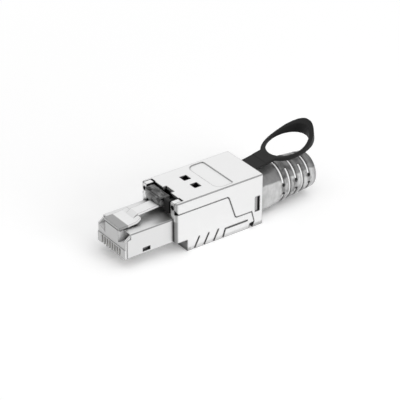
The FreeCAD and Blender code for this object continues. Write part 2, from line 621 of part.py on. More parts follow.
def contact(y):
    """One bent contact: upright front, flat foot that meets the jack, and a tail on the board."""
    low = PLUG_BOTTOM + CONTACT_BOTTOM
    front = CONTACT_SETBACK
    slot_top = PLUG_BOTTOM + CONTACT_SLOT_HEIGHT - CONTACT_TOP_GAP
    rise_end = BOARD_FRONT - CONTACT_RISE_END
    tail_end = BOARD_FRONT + CONTACT_TAIL
    outline = [
        (front, low),
        (front + CONTACT_FLAT, low),
        (rise_end, BOARD_TOP),
        (tail_end, BOARD_TOP),
        (tail_end, BOARD_TOP + CONTACT_STOCK),
        (rise_end - CONTACT_BEND, BOARD_TOP + CONTACT_STOCK),
        (front + CONTACT_FLAT - CONTACT_BEND, low + CONTACT_STOCK),
        (front + CONTACT_STOCK, low + CONTACT_STOCK),
        (front + CONTACT_STOCK, slot_top),
        (front, slot_top),
    ]
    return side_prism(outline, y - CONTACT_THICKNESS / 2, y + CONTACT_THICKNESS / 2)


def latch_strip(top_line, plan_half):
    """Lever material under a top line, inside a plan outline given as distances from the middle."""
    low_line = [(x, z - LATCH_THICKNESS) for x, z in reversed(top_line)]
    strip = side_prism(top_line + low_line, -LATCH_HALF_WIDTH, LATCH_HALF_WIDTH)
    plan = plan_half + [(x, -y) for x, y in reversed(plan_half)]
    return strip.common(plan_prism(plan, 0, BODY_HEIGHT))


def latch_lever():
    """Clear lever: a wide front that ramps up, a narrow arm to the paddle and a pivot barrel."""
    front_line = [
        (NOSE_LIP, LATCH_TOP),
        (LATCH_FLAT_END, LATCH_TOP),
        (LATCH_KNEE, LATCH_TOP + LATCH_KNEE_RISE),
    ]
    wings = latch_strip(front_line + [(LATCH_RAMP_END, LATCH_TOP + LATCH_WING_RISE)], [
        (0, LATCH_HALF_WIDTH),
        (LATCH_KNEE, LATCH_HALF_WIDTH),
        (LATCH_RAMP_END, LATCH_HALF_WIDTH - LATCH_TAPER),
    ])
    arm_end = PADDLE_FRONT + PADDLE_EMBED
    arm_line = [(LATCH_RAMP_END, ARM_START), (PADDLE_FRONT, ARM_TOP), (arm_end, ARM_TOP)]
    arm = latch_strip(front_line + arm_line, [
        (0, LATCH_ARM_HALF_WIDTH),
        (arm_end, LATCH_ARM_HALF_WIDTH),
    ])
    barrel = cylinder_y(LATCH_PIVOT_X, BLOCK_TOP, LATCH_BARREL_RADIUS, -BLOCK_HALF_WIDTH, BLOCK_HALF_WIDTH)
    neck_half = LATCH_BARREL_RADIUS / sqrt(2)
    neck = box(LATCH_PIVOT_X - neck_half, LATCH_PIVOT_X + neck_half, -BLOCK_HALF_WIDTH, BLOCK_HALF_WIDTH,
               BLOCK_TOP, LATCH_BOTTOM + LATCH_GAP)
    return fuse([wings, arm, barrel, neck])


def release_paddle():
    """Smoke-tinted finger piece on the latch arm, with a front that bulges out of the body."""
    top = BODY_HEIGHT - PADDLE_BELOW_ROOF
    bottom = ARM_TOP - PADDLE_SKIRT
    blank = box(PADDLE_FRONT - PAST, PADDLE_REAR, PADDLE_RIGHT, PADDLE_LEFT, bottom, top)
    bulge = Part.makeCylinder(PADDLE_ARC_RADIUS, BODY_HEIGHT,
                              V(PADDLE_FRONT + PADDLE_ARC_RADIUS, PADDLE_CENTRE, 0), ALONG_Z)
    paddle = blank.common(bulge)
    scoop_x = (PADDLE_FRONT + PADDLE_REAR) / 2 + PADDLE_SCOOP_SHIFT
    scoop = cylinder_y(scoop_x, top + PADDLE_SCOOP_RADIUS - PADDLE_SCOOP_DEPTH, PADDLE_SCOOP_RADIUS,
                       PADDLE_RIGHT + PADDLE_SCOOP_RIM, PADDLE_LEFT - PADDLE_SCOOP_RIM)
    socket = box(PADDLE_FRONT - PAST, PADDLE_FRONT + PADDLE_EMBED, -LATCH_ARM_HALF_WIDTH,
                 LATCH_ARM_HALF_WIDTH, bottom - PAST, ARM_TOP)
    return cut(paddle, [scoop, socket])


def ring_underside(x):
    """Height of the underside of the strap and ring at a station x."""
    run = max(0.0, x - BODY_REAR - STRAP_BEND)
    return STRAP_BOTTOM + RING_SLOPE * run + RING_CURL * run * run


def ring_topside(x):
    """Height of the top, which swells into a raised lip at the far end of the ring."""
    share = min(1.0, max(0.0, (x - RING_FRONT) / RING_LENGTH))
    return ring_underside(x) + STRAP_THICKNESS + (RING_LIP_HEIGHT - STRAP_THICKNESS) * share ** LIP_POWER


def oval_prism(x0, x1, half_width, lean):
    """Solid over an ellipse that spans x0 to x1 at the ring's underside. It leans back as it rises."""
    half_length = (x1 - x0) / 2
    rise = 2 * BODY_HEIGHT
    middle = V((x0 + x1) / 2 + lean * ring_underside(x1), 0, 0)
    if half_length >= half_width:
        curve = Part.Ellipse(middle, half_length, half_width)
    else:
        curve = Part.Ellipse(middle + V(0, half_width, 0), middle + V(half_length, 0, 0), middle)
    return Part.Face(Part.Wire(curve.toShape())).extrude(V(-lean * rise, 0, rise))


def pull_strap():
    """Strap, finger ring and front hook, moulded in one piece."""
    bend = BODY_REAR + STRAP_BEND
    step = (RING_TIP - bend) / (PROFILE_STATIONS - 1)
    xs = [bend + step * index for index in range(PROFILE_STATIONS)]
    under = Part.BSplineCurve()
    under.interpolate([V(x, 0, ring_underside(x)) for x in xs])
    over = Part.BSplineCurve()
    over.interpolate([V(x, 0, ring_topside(x)) for x in xs])
    tip_low = V(RING_TIP, 0, ring_underside(RING_TIP))
    tip_high = V(RING_TIP, 0, ring_topside(RING_TIP))
    profile = Part.Wire([
        under.toShape(),
        Part.makeLine(tip_low, tip_high),
        over.toShape(),
        Part.makeLine(V(bend, 0, STRAP_TOP), V(bend, 0, STRAP_BOTTOM)),
    ])
    curved = Part.Face(profile).extrude(V(0, 2 * RING_WIDTH, 0))
    curved.translate(V(0, -RING_WIDTH, 0))

    head = BODY_FRONT + STRAP_FRONT
    half = STRAP_WIDTH / 2
    straight = box(head, bend, -half, half, STRAP_BOTTOM, STRAP_TOP)
    plate = box(head, head + STRAP_HEAD_LENGTH, -HEAD_HALF_WIDTH, HEAD_HALF_WIDTH, STRAP_BOTTOM, STRAP_TOP)
    strap_end = BODY_REAR + STRAP_SHOULDER
    ring_half = RING_WIDTH / 2
    upright = oval_prism(RING_FRONT, RING_TIP + RING_BLUNTNESS, ring_half, 0)
    leaning = oval_prism(RING_FRONT - RING_LENGTH * LEAN_SHARE, RING_TIP, ring_half + RING_BLUNTNESS,
                         RING_LEAN)
    plan = fuse([box(bend - PAST, strap_end, -half, half, 0, 2 * BODY_HEIGHT), upright.common(leaning)])
    hole = oval_prism(RING_FRONT + RING_NEAR_WALL, RING_TIP - RING_FAR_WALL, ring_half - RING_SIDE_WALL, 0)
    ring = curved.common(plan.cut(hole))

    hook_left = PADDLE_RIGHT - HOOK_GAP
    hook_right = hook_left - HOOK_WIDTH
    hook_front = BODY_FRONT + MOUTH_DEPTH - PULL_TRAVEL - HOOK_LENGTH - HOOK_STOP_GAP
    arm = box(hook_front, head + PAST, hook_right, hook_left, STRAP_BOTTOM, STRAP_TOP)
    post = box(hook_front, hook_front + HOOK_LENGTH, hook_right, hook_left, PLUG_TOP + HOOK_ABOVE_PLUG,
               BODY_HEIGHT - HOOK_BELOW_TOP)
    return fuse([straight, plate, ring, arm, post])


def rounded_section(x, half_width, z0, z1, radius):
    """Closed wire at station x: four sides and four corner arcs, in the order of round_section."""
    middle_z = (z0 + z1) / 2
    half_height = (z1 - z0) / 2
    edges = []
    for quadrant in range(4):
        angle = quadrant * pi / 2
        reach_a, reach_b = (half_width, half_height) if quadrant % 2 == 0 else (half_height, half_width)
        forward = V(0, cos(angle), sin(angle))
        sideways = V(0, -sin(angle), cos(angle))
        middle = V(x, 0, middle_z)
        side_start = middle + forward * reach_a - sideways * (reach_b - radius)
        side_end = middle + forward * reach_a + sideways * (reach_b - radius)
        corner = side_end - forward * radius
        mid_arc = corner + (forward + sideways) * (radius / sqrt(2))
        arc_end = corner + sideways * radius
        edges.append(Part.makeLine(side_start, side_end))
        edges.append(Part.Arc(side_end, mid_arc, arc_end).toShape())
    return Part.Wire(edges)


def round_section(x, radius, z, side_angle):
    """Circle at station x, split into eight arcs that pair with rounded_section."""
    def point(angle):
        return V(x, radius * cos(angle), z + radius * sin(angle))

    edges = []
    for quadrant in range(4):
        angle = quadrant * pi / 2
        edges.append(Part.Arc(point(angle - side_angle), point(angle), point(angle + side_angle)).toShape())
        far = angle + pi / 2 - side_angle
        edges.append(Part.Arc(point(angle + side_angle), point(angle + pi / 4), point(far)).toShape())
    return Part.Wire(edges)


def boot_slot(x, start, end):
    """Cutter for one curved slot, between two angles about the cable axis."""
    axis = V(x, 0, BOOT_AXIS_Z)
    half = V(SLOT_WIDTH / 2, 0, 0)
    inner = axis + V(0, CABLE_BORE_RADIUS + SLOT_SKIN, 0)
    outer = axis + V(0, BOOT_RADIUS + PAST, 0)
    flat = Part.Face(Part.makePolygon([inner - half, inner + half, outer + half, outer - half, inner - half]))
    flat.rotate(axis, ALONG_X, start)
    return flat.revolve(axis, ALONG_X, end - start)


def boot():
    """Strain relief: square root, blend to a tapered tube, and staggered slots that let it bend."""
    root_end = BODY_REAR + BOOT_ROOT_LENGTH
    tube_start = root_end + BOOT_BLEND_LENGTH
    root_half = BOOT_NECK_RADIUS + BOOT_ROOT_FLANGE
    root_low = FLOOR_THICKNESS - BOOT_ROOT_DROP
    root_high = STRAP_BOTTOM - BOOT_ROOT_TOP_GAP
    root_wire = rounded_section(BODY_REAR, root_half, root_low, root_high, BOOT_ROOT_RADIUS)
    root = Part.Face(root_wire).extrude(V(BOOT_ROOT_LENGTH, 0, 0))
    blend = Part.makeLoft([
        rounded_section(root_end, root_half, root_low, root_high, BOOT_ROOT_RADIUS),
        round_section(tube_start, BOOT_RADIUS, BOOT_AXIS_Z, radians(BLEND_SIDE_ANGLE)),
    ], True)
    tube = Part.makeCone(BOOT_RADIUS, BOOT_END_RADIUS, BOOT_END - tube_start,
                         V(tube_start, 0, BOOT_AXIS_Z), ALONG_X)
    end_edge = [e for e in tube.Edges if e.BoundBox.XMin > BOOT_END - TOUCH]
    tube = tube.makeChamfer(BOOT_END_CHAMFER, end_edge)
    neck = cylinder_x(BODY_REAR - BOOT_NECK_LENGTH, BODY_REAR, 0, BOOT_AXIS_Z, BOOT_NECK_RADIUS)
    outside = fuse([root, blend, tube, neck])
    cutters = [cylinder_x(0, BOOT_END + PAST, 0, BOOT_AXIS_Z, CABLE_BORE_RADIUS)]
    half_bridge = SLOT_BRIDGE / 2
    for index in range(SLOT_COUNT):
        x = BODY_REAR + SLOT_FIRST + index * SLOT_PITCH
        if index % 2 == 0:
            spans = [(half_bridge, 180 - half_bridge), (180 + half_bridge, 360 - half_bridge)]
        else:
            spans = [(-SIDE_SLOT_REACH, SIDE_SLOT_REACH), (180 - SIDE_SLOT_REACH, 180 + SIDE_SLOT_REACH)]
        cutters += [boot_slot(x, start, end) for start, end in spans]
    return cut(outside, cutters)


def cable_gland():
    """Plastic insert in the tail of the cover. Its two tabs snap into the side windows."""
    rear = BODY_REAR - REAR_WALL
    half = INNER_HALF_WIDTH - GLAND_SIDE_GAP
    body = box(rear - GLAND_LENGTH, rear, -half, half, FLOOR_THICKNESS, GLAND_TOP)
    window_rear = BODY_REAR - WINDOW_FROM_REAR
    tab_x0 = window_rear - WINDOW_LENGTH + GLAND_TAB_GAP
    tab_x1 = min(window_rear - GLAND_TAB_GAP, rear)
    tab_z0 = WINDOW_BOTTOM + GLAND_TAB_GAP
    tab_z1 = WINDOW_BOTTOM + WINDOW_HEIGHT - GLAND_TAB_GAP
    reach = HALF_WIDTH - GLAND_TAB_RECESS
    tabs = box(tab_x0, tab_x1, -reach, reach, tab_z0, tab_z1)
    bore = cylinder_x(rear - GLAND_LENGTH - PAST, rear + PAST, 0, BOOT_AXIS_Z, BOOT_NECK_RADIUS)
    return cut(fuse([body, tabs]), [bore])


def shield_spring():
    """Split steel ring in the gland that grips the cable screen, slit into fingers."""
    start = BODY_REAR - REAR_WALL - GLAND_LENGTH
    ring = cylinder_x(start, start + SPRING_LENGTH, 0, BOOT_AXIS_Z, BOOT_NECK_RADIUS)
    hollow = cylinder_x(start - PAST, start + SPRING_LENGTH + PAST, 0, BOOT_AXIS_Z,
                        BOOT_NECK_RADIUS - SPRING_THICKNESS)
    reach = BOOT_NECK_RADIUS * 2
    spread = reach * tan(radians(SPRING_SPLIT / 2))
    split = front_prism([(0, BOOT_AXIS_Z), (spread, BOOT_AXIS_Z + reach), (-spread, BOOT_AXIS_Z + reach)],
                        start - PAST, start + SPRING_LENGTH + PAST)
    slits = []
    for index in range(SPRING_SLITS):
        slit = box(start - PAST, start + SPRING_SLIT_DEPTH, -SPRING_SLIT_WIDTH / 2, SPRING_SLIT_WIDTH / 2,
                   -reach, 0)
        slit.rotate(V(0, 0, 0), ALONG_X, (index - (SPRING_SLITS - 1) / 2) * SPRING_SLIT_PITCH)
        slit.translate(V(0, 0, BOOT_AXIS_Z))
        slits.append(slit)
    return cut(ring, [hollow, split] + slits)


def blade_places():
    """Centre (x, y) of each insulation displacement blade, in two staggered rows."""
    places = []
    for index in range(CONTACT_COUNT):
        y = (index - (CONTACT_COUNT - 1) / 2) * BLADE_PITCH
        share = SECOND_ROW_SHARE if index % 2 else FIRST_ROW_SHARE
        x = BLOCK_START + BLOCK_LENGTH * share
        places.append((x, y))
    return places


def terminal_block():
    block = box(BLOCK_START, BLOCK_START + BLOCK_LENGTH, -BLOCK_WIDTH / 2, BLOCK_WIDTH / 2,
                BOARD_TOP, TERMINAL_TOP)
    seats = []
    for x, y in blade_places():
        seats.append(box(x - BLADE_THICKNESS / 2, x + BLADE_THICKNESS / 2, y - BLADE_WIDTH / 2,
                         y + BLADE_WIDTH / 2, BOARD_TOP - PAST, TERMINAL_TOP + PAST))
    return cut(block, seats)


def terminal_blade(x, y):
    """Forked blade that stands on the board and cuts into its wire from below."""
    blade = box(x - BLADE_THICKNESS / 2, x + BLADE_THICKNESS / 2, y - BLADE_WIDTH / 2, y + BLADE_WIDTH / 2,
                BOARD_TOP, BLADE_TOP)
    fork = box(x - PAST, x + PAST, y - BLADE_FORK / 2, y + BLADE_FORK / 2, BLADE_TOP - BLADE_FORK_DEPTH,
               BLADE_TOP + PAST)
    return cut(blade, [fork])


def circuit_board():
    return box(BOARD_FRONT, BOARD_REAR, -BOARD_HALF_WIDTH, BOARD_HALF_WIDTH, BOARD_BOTTOM, BOARD_TOP)


def wire_manager():
    """Hangs from the roof of the cover and presses eight wires onto the blades."""
    low = TERMINAL_TOP + MANAGER_GAP
    high = STRAP_BOTTOM - MANAGER_TOP_GAP
    half = BLOCK_WIDTH / 2
    end = BLOCK_START + BLOCK_LENGTH
    body = [box(BLOCK_START, end, -half, half, low, high)]
    for side in (1, -1):
        y0, y1 = span(side, half - MANAGER_LEG, half)
        body.append(box(BLOCK_START, end, y0, y1, low, ROOF_UNDERSIDE))
    cutters = []
    for x, y in blade_places():
        cutters.append(box(x - BLADE_POCKET_FRONT, x + BLADE_POCKET_REAR,
                           y - BLADE_WIDTH / 2 - BLADE_POCKET_SIDE, y + BLADE_WIDTH / 2 + BLADE_POCKET_SIDE,
                           low - PAST, BLADE_TOP + MANAGER_GAP))
        cutters.append(cylinder_x(x, end + PAST, y, low, WIRE_CHANNEL_RADIUS))
    return cut(fuse(body), cutters)


def all_parts():
    parts = {
        "lower_housing": lower_housing(),
        "top_cover": top_cover(),
        "hinge_pin_left": hinge_pin(1),
        "hinge_pin_right": hinge_pin(-1),
        "plug_shield": plug_shield(),
        "plug_nose": plug_nose(),
        "latch_lever": latch_lever(),
        "release_paddle": release_paddle(),
        "pull_strap": pull_strap(),
        "boot": boot(),
        "cable_gland": cable_gland(),
        "shield_spring": shield_spring(),
        "circuit_board": circuit_board(),
        "terminal_block": terminal_block(),
        "wire_manager": wire_manager(),
    }
    for number, y in enumerate(contact_places(), 1):
        parts["contact_%d" % number] = contact(y)
    for number, (x, y) in enumerate(blade_places(), 1):
        parts["terminal_blade_%d" % number] = terminal_blade(x, y)
    return parts


os.makedirs("parts", exist_ok=True)
for name, shape in all_parts().items():
    shape.translate(V(-OVERALL_LENGTH / 2, 0, 0))
    shape.exportStep("parts/%s.step" % name)
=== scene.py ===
"""Looks of a shielded field termination ethernet plug: finishes, soft pieces, stage and camera.

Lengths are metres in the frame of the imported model: X runs from the nose to the cable end, Z is up.
"""
import math

import bmesh
import bpy
from bpy.props import FloatProperty, FloatVectorProperty, IntProperty, PointerProperty
from bpy.types import Operator, Panel, PropertyGroup
from mathutils import Matrix, Vector


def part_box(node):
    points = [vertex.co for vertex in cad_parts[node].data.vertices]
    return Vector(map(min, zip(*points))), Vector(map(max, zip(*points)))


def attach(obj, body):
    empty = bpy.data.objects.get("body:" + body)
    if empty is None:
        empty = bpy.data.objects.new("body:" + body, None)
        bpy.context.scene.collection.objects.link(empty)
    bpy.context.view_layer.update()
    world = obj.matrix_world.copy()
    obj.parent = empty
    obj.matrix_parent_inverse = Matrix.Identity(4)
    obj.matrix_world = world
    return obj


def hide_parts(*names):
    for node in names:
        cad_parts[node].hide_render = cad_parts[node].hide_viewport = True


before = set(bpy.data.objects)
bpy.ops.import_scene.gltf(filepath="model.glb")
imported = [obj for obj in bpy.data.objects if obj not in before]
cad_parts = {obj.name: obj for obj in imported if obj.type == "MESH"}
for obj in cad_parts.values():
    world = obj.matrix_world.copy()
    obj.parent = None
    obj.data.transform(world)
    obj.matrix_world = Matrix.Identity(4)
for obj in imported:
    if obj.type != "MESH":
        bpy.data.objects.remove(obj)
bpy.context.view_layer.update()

bl_info = {
    "name": "Field Termination Plug",
    "version": (1, 0, 0),
    "blender": (4, 5, 0),
    "location": "3D View > Sidebar > Plug",
    "description": "Dresses the packed model of a shielded ethernet plug and sets up its stage",
    "category": "Object",
}

MM = 0.001

LAMP_TARGET = Vector((0.0, 0.0, 5 * MM))

# Masks: how nearly a face is square to an axis, and how fast painted shade comes on at folds and sharp edges
SQUARE = 0.985
BEND_RISE = 6.0
EDGE_RISE = 9.0
BEVEL_SAMPLES = 6
RECESS_SAMPLES = 12

CONTACTS = range(1, 9)
TRACK_PITCH = 1.02          # millimetres, across the board
TRACK_HALF_WIDTH = 0.2
PALE_GOLD = (0.98, 0.93, 0.82)
TIN = (0.72, 0.72, 0.7)
POLYCARBONATE_IOR = 1.58
ELASTOMER_IOR = 1.5

# Zones of the casting in millimetres, where its painted shade changes
FRONT_SHADE_TOP = 8.7          # top of the front faces painted darker as shade, above the underside
LABEL_START = 11.8      # ahead of the label pocket, behind the body's front
LABEL_DEPTH = 0.5       # below the roof
GROOVES_TOP = 3.8
GROOVES_START = 4.0     # behind the body's front
GROOVES_END = 4.1       # ahead of the body's rear
WINDOW_START = 2.3      # ahead of the body's rear
WINDOW_BOTTOM = 3.2
WINDOW_TOP = 10.0

# Ring, from the body's rear
RING_START = 4 * MM
RING_DEEPER = 6 * MM
RING_DEEPER_RUN = 3 * MM

# Boot: directions, profiles in millimetres and shares
SHOULDER_NORMAL = (0.667, 0.745)
RIM = ((0.34, 0.02), (0.16, 0.12), (0.04, 0.28), (0.0, 0.45))   # back from the end, in from its radius
FIRST_STATIONS = [0.0, 0.12, 0.3]
STATION_STEP = 0.35
END_ROOM = 0.7                                                  # left to the first stations and the rim
SLOT_ROOM = 0.2                                                 # kept free of stations beside a slot
SLOT_STATIONS = (0.4, 0.62, 0.82, 1.0, 1.3)                     # shares of a slot's half width
BOTTOM_SHARE = 0.6                                              # of a slot's wall, where its bottom with its pale painted light starts
PIT_SHARE = 0.3                                                 # of a pit's wall, where its painted shade starts
PAINTED_SHADOW_ABOVE = 8.1                                                # height over the underside, above which the boot has a painted shadow
SHADED_BELOW = 2.6


def grey(value):
    return (value, value, value, 1.0)


# Shader building


class Wire:
    """A value in a shader. Arithmetic on it adds Math nodes."""

    def __init__(self, tree, socket):
        self.tree = tree
        self.socket = socket

    def feed(self, slot):
        self.tree.links.new(self.socket, slot)

    def math(self, operation, *values):
        node = self.tree.nodes.new("ShaderNodeMath")
        node.operation = operation
        for slot, value in zip(node.inputs, values):
            if isinstance(value, Wire):
                value.feed(slot)
            else:
                slot.default_value = value
        return Wire(self.tree, node.outputs[0])

    def __add__(self, other):
        return self.math("ADD", self, other)

    def __radd__(self, other):
        return self.math("ADD", other, self)

    def __sub__(self, other):
        return self.math("SUBTRACT", self, other)

    def __rsub__(self, other):
        return self.math("SUBTRACT", other, self)

    def __mul__(self, other):
        return self.math("MULTIPLY", self, other)

    def __rmul__(self, other):
        return self.math("MULTIPLY", other, self)

    def __truediv__(self, other):
        return self.math("DIVIDE", self, other)

    def most(self, other):
        """The larger of two values."""
        return self.math("MAXIMUM", self, other)

    def folded(self, width):
        """The value folded back and forth between 0 and a width."""
        return self.math("PINGPONG", self, width)

    def limit(self):
        """The value kept between 0 and 1."""
        return self.math("MINIMUM", self.most(0.0), 1.0)


class Finish:
    """A material, or the world, under construction."""

    def __init__(self, name, kind="materials"):
        self.material = getattr(bpy.data, kind).new(name)
        self.material.use_nodes = True
        self.tree = self.material.node_tree
        self.tree.nodes.clear()

    def node(self, kind, settings, sockets, output=0):
        """Adds a node, applies its settings and then fills its sockets. Returns one of its outputs."""
        node = self.tree.nodes.new("ShaderNode" + kind)
        for key, value in settings.items():
            setattr(node, key, value)
        for key, value in sockets.items():
            slot = node.inputs[key]
            if isinstance(value, Wire):
                value.feed(slot)
            else:
                slot.default_value = value
        return None if output is None else Wire(self.tree, node.outputs[output])

    def place(self):
        """Position on the object at rest, in millimetres."""
        spot = self.node("TexCoord", {}, {}, "Object")
        return self.node("VectorMath", {"operation": "SCALE"}, {0: spot, "Scale": 1.0 / MM})

    def along(self, axis):
        """One coordinate of the position on the object, in millimetres."""
        return self.node("SeparateXYZ", {}, {0: self.place()}, axis)

    def beyond(self, axis, start, rise=4.0):
        """Mask that goes from 0 to 1 behind or above a place on the object. The rise is per millimetre."""
        return ((self.along(axis) - start) * rise).limit()

    def before(self, axis, end, rise=4.0):
        """Mask that goes from 1 to 0 at a place on the object."""
        return ((end - self.along(axis)) * rise).limit()

    def dot(self, first, second):
        return self.node("VectorMath", {"operation": "DOT_PRODUCT"}, {0: first, 1: second}, "Value")

    def ahead(self, normal, start, rise):
        """Mask that is 1 on faces towards the plug's front."""
        return ((self.dot(normal, (-1.0, 0.0, 0.0)) - start) * rise).limit()

    def bends(self):
        """Mask that is 1 on slanting and curved faces, such as the folds of a sheet."""
        flat = self.node("NewGeometry", {}, {}, "Normal")
        parts = [self.node("SeparateXYZ", {}, {0: flat}, axis) for axis in "XYZ"]
        x, y, z = [part.math("ABSOLUTE", part) for part in parts]
        return ((SQUARE - x.most(y.most(z))) * BEND_RISE).limit()

    def stretched(self, x, y, z):
        """Position with each axis scaled, for grain that runs one way."""
        return self.node("VectorMath", {"operation": "MULTIPLY"}, {0: self.place(), 1: (x, y, z)})

    def noise(self, spot, per_mm, detail=3.0, roughness=0.5):
        return self.node("TexNoise", {}, {"Vector": spot, "Scale": per_mm, "Detail": detail,
                                          "Roughness": roughness}, "Fac")

    def blend(self, factor, first, second):
        """Colour between two colours."""
        return self.node("Mix", {"data_type": "RGBA"}, {0: factor, 6: first, 7: second}, 2)

    def rounded(self, radius):
        """Surface normal with its sharp edges rounded over a radius."""
        return self.node("Bevel", {"samples": BEVEL_SAMPLES}, {"Radius": radius}, 0)

    def edges(self, soft_normal):
        """Mask that is 1 along sharp edges and 0 on flat faces."""
        flat = self.node("NewGeometry", {}, {}, "Normal")
        agree = self.dot(soft_normal, flat)
        return ((1.0 - agree) * EDGE_RISE).limit()

    def bump(self, height, strength, depth, normal=None):
        sockets = {"Height": height, "Strength": strength, "Distance": depth}
        if normal is not None:
            sockets["Normal"] = normal
        return self.node("Bump", {}, sockets, 0)

    def recess(self, reach, start=0.1, rise=2.0, alone=False):
        """Mask that is 0 in the open and rises to 1 in corners, seams and holes, where the finishes paint
        shade.
        """
        settings = {"samples": RECESS_SAMPLES, "only_local": alone}
        hidden = 1.0 - self.node("AmbientOcclusion", settings, {"Distance": reach}, "AO")
        return ((hidden - start) * rise).limit()

    def sight(self):
        """Mask that is 1 for the camera and for what is seen in metal or through plastic."""
        camera, glossy, through = [self.node("LightPath", {}, {}, "Is %s Ray" % kind)
                                   for kind in ("Camera", "Glossy", "Transmission")]
        return (camera + glossy + through).limit()

    def surface(self, **sockets):
        """Closes the material with the main shader. Underscores in names stand for spaces."""
        values = {key.replace("_", " "): value for key, value in sockets.items()}
        self.close(self.node("BsdfPrincipled", {}, values, 0))
        return self.material

    def close(self, shader, kind="Material"):
        self.node("Output" + kind, {}, {"Surface": shader}, None)


def scaled(colour, factor):
    """A colour made lighter or darker."""
    return tuple(min(1.0, channel * factor) for channel in colour[:3]) + (1.0,)


def paint(material, *names):
    """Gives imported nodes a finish."""
    for name in names:
        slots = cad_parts[name].data.materials
        slots.clear()
        slots.append(material)


# Settings that a user would change


class PlugFinishes(PropertyGroup):
    """Colours of the plug's materials, with the painted shade and highlights in them."""

    cast_metal: FloatVectorProperty(
        name="Cast metal", description="Nickel-plated die-cast body", subtype="COLOR", size=4,
        min=0, max=1, default=grey(0.87))
    sheet_metal: FloatVectorProperty(
        name="Sheet metal", description="Folded shield round the nose", subtype="COLOR", size=4,
        min=0, max=1, default=grey(0.77))
    clear_plastic: FloatVectorProperty(
        name="Clear plastic", description="Nose insulator and latch", subtype="COLOR", size=4,
        min=0, max=1, default=grey(0.94))
    smoke_plastic: FloatVectorProperty(
        name="Smoke plastic", description="Release paddle", subtype="COLOR", size=4,
        min=0, max=1, default=grey(0.1))
    strap_plastic: FloatVectorProperty(
        name="Strap plastic", description="Pull strap and ring", subtype="COLOR", size=4,
        min=0, max=1, default=grey(0.012))
    boot_plastic: FloatVectorProperty(
        name="Boot plastic", description="Translucent strain relief", subtype="COLOR", size=4,
        min=0, max=1, default=grey(0.72))
    gland_shade: FloatProperty(
        name="Gland", description="Grey of the cable gland", min=0, max=1, default=0.34)
    terminal_shade: FloatProperty(
        name="Terminal block", description="Grey of the terminal block", min=0, max=1, default=0.05)
    manager_shade: FloatProperty(
        name="Wire manager", description="Grey of the wire manager", min=0, max=1, default=0.02)
    corner_shade: FloatProperty(
        name="Corner shade", description="How dark seams, corners and holes are", subtype="FACTOR",
        min=0, max=1, default=1.0)
    # edge_shade paints sharp edges darker as shade, and the paddle's edges paler as a highlight
    edge_shade: FloatProperty(
        name="Edge shade", description="How much darker sharp metal and plastic edges are", subtype="FACTOR",
        min=0, max=1, default=0.7)
    # the lever is painted greyer as shade over its front lip
    lip_length: FloatProperty(
        name="Lever lip", description="Length of the lever's clear front lip in millimetres", default=2.6)
    # ahead of the comb the nose's painted shade in recesses is weaker
    comb_depth: FloatProperty(
        name="Comb depth", description="Depth of the comb from the front in millimetres", default=1.8)
    edge_radius: FloatProperty(
        name="Edge radius", description="Softening of the cast edges", unit="LENGTH", subtype="DISTANCE",
        min=0, max=1 * MM, default=0.16 * MM)
    # edge_width is the width of the painted shade along the cast edges
    edge_width: FloatProperty(
        name="Edge width", description="Width of the darker band along the cast edges", unit="LENGTH",
        subtype="DISTANCE", min=0, max=2 * MM, default=0.45 * MM)


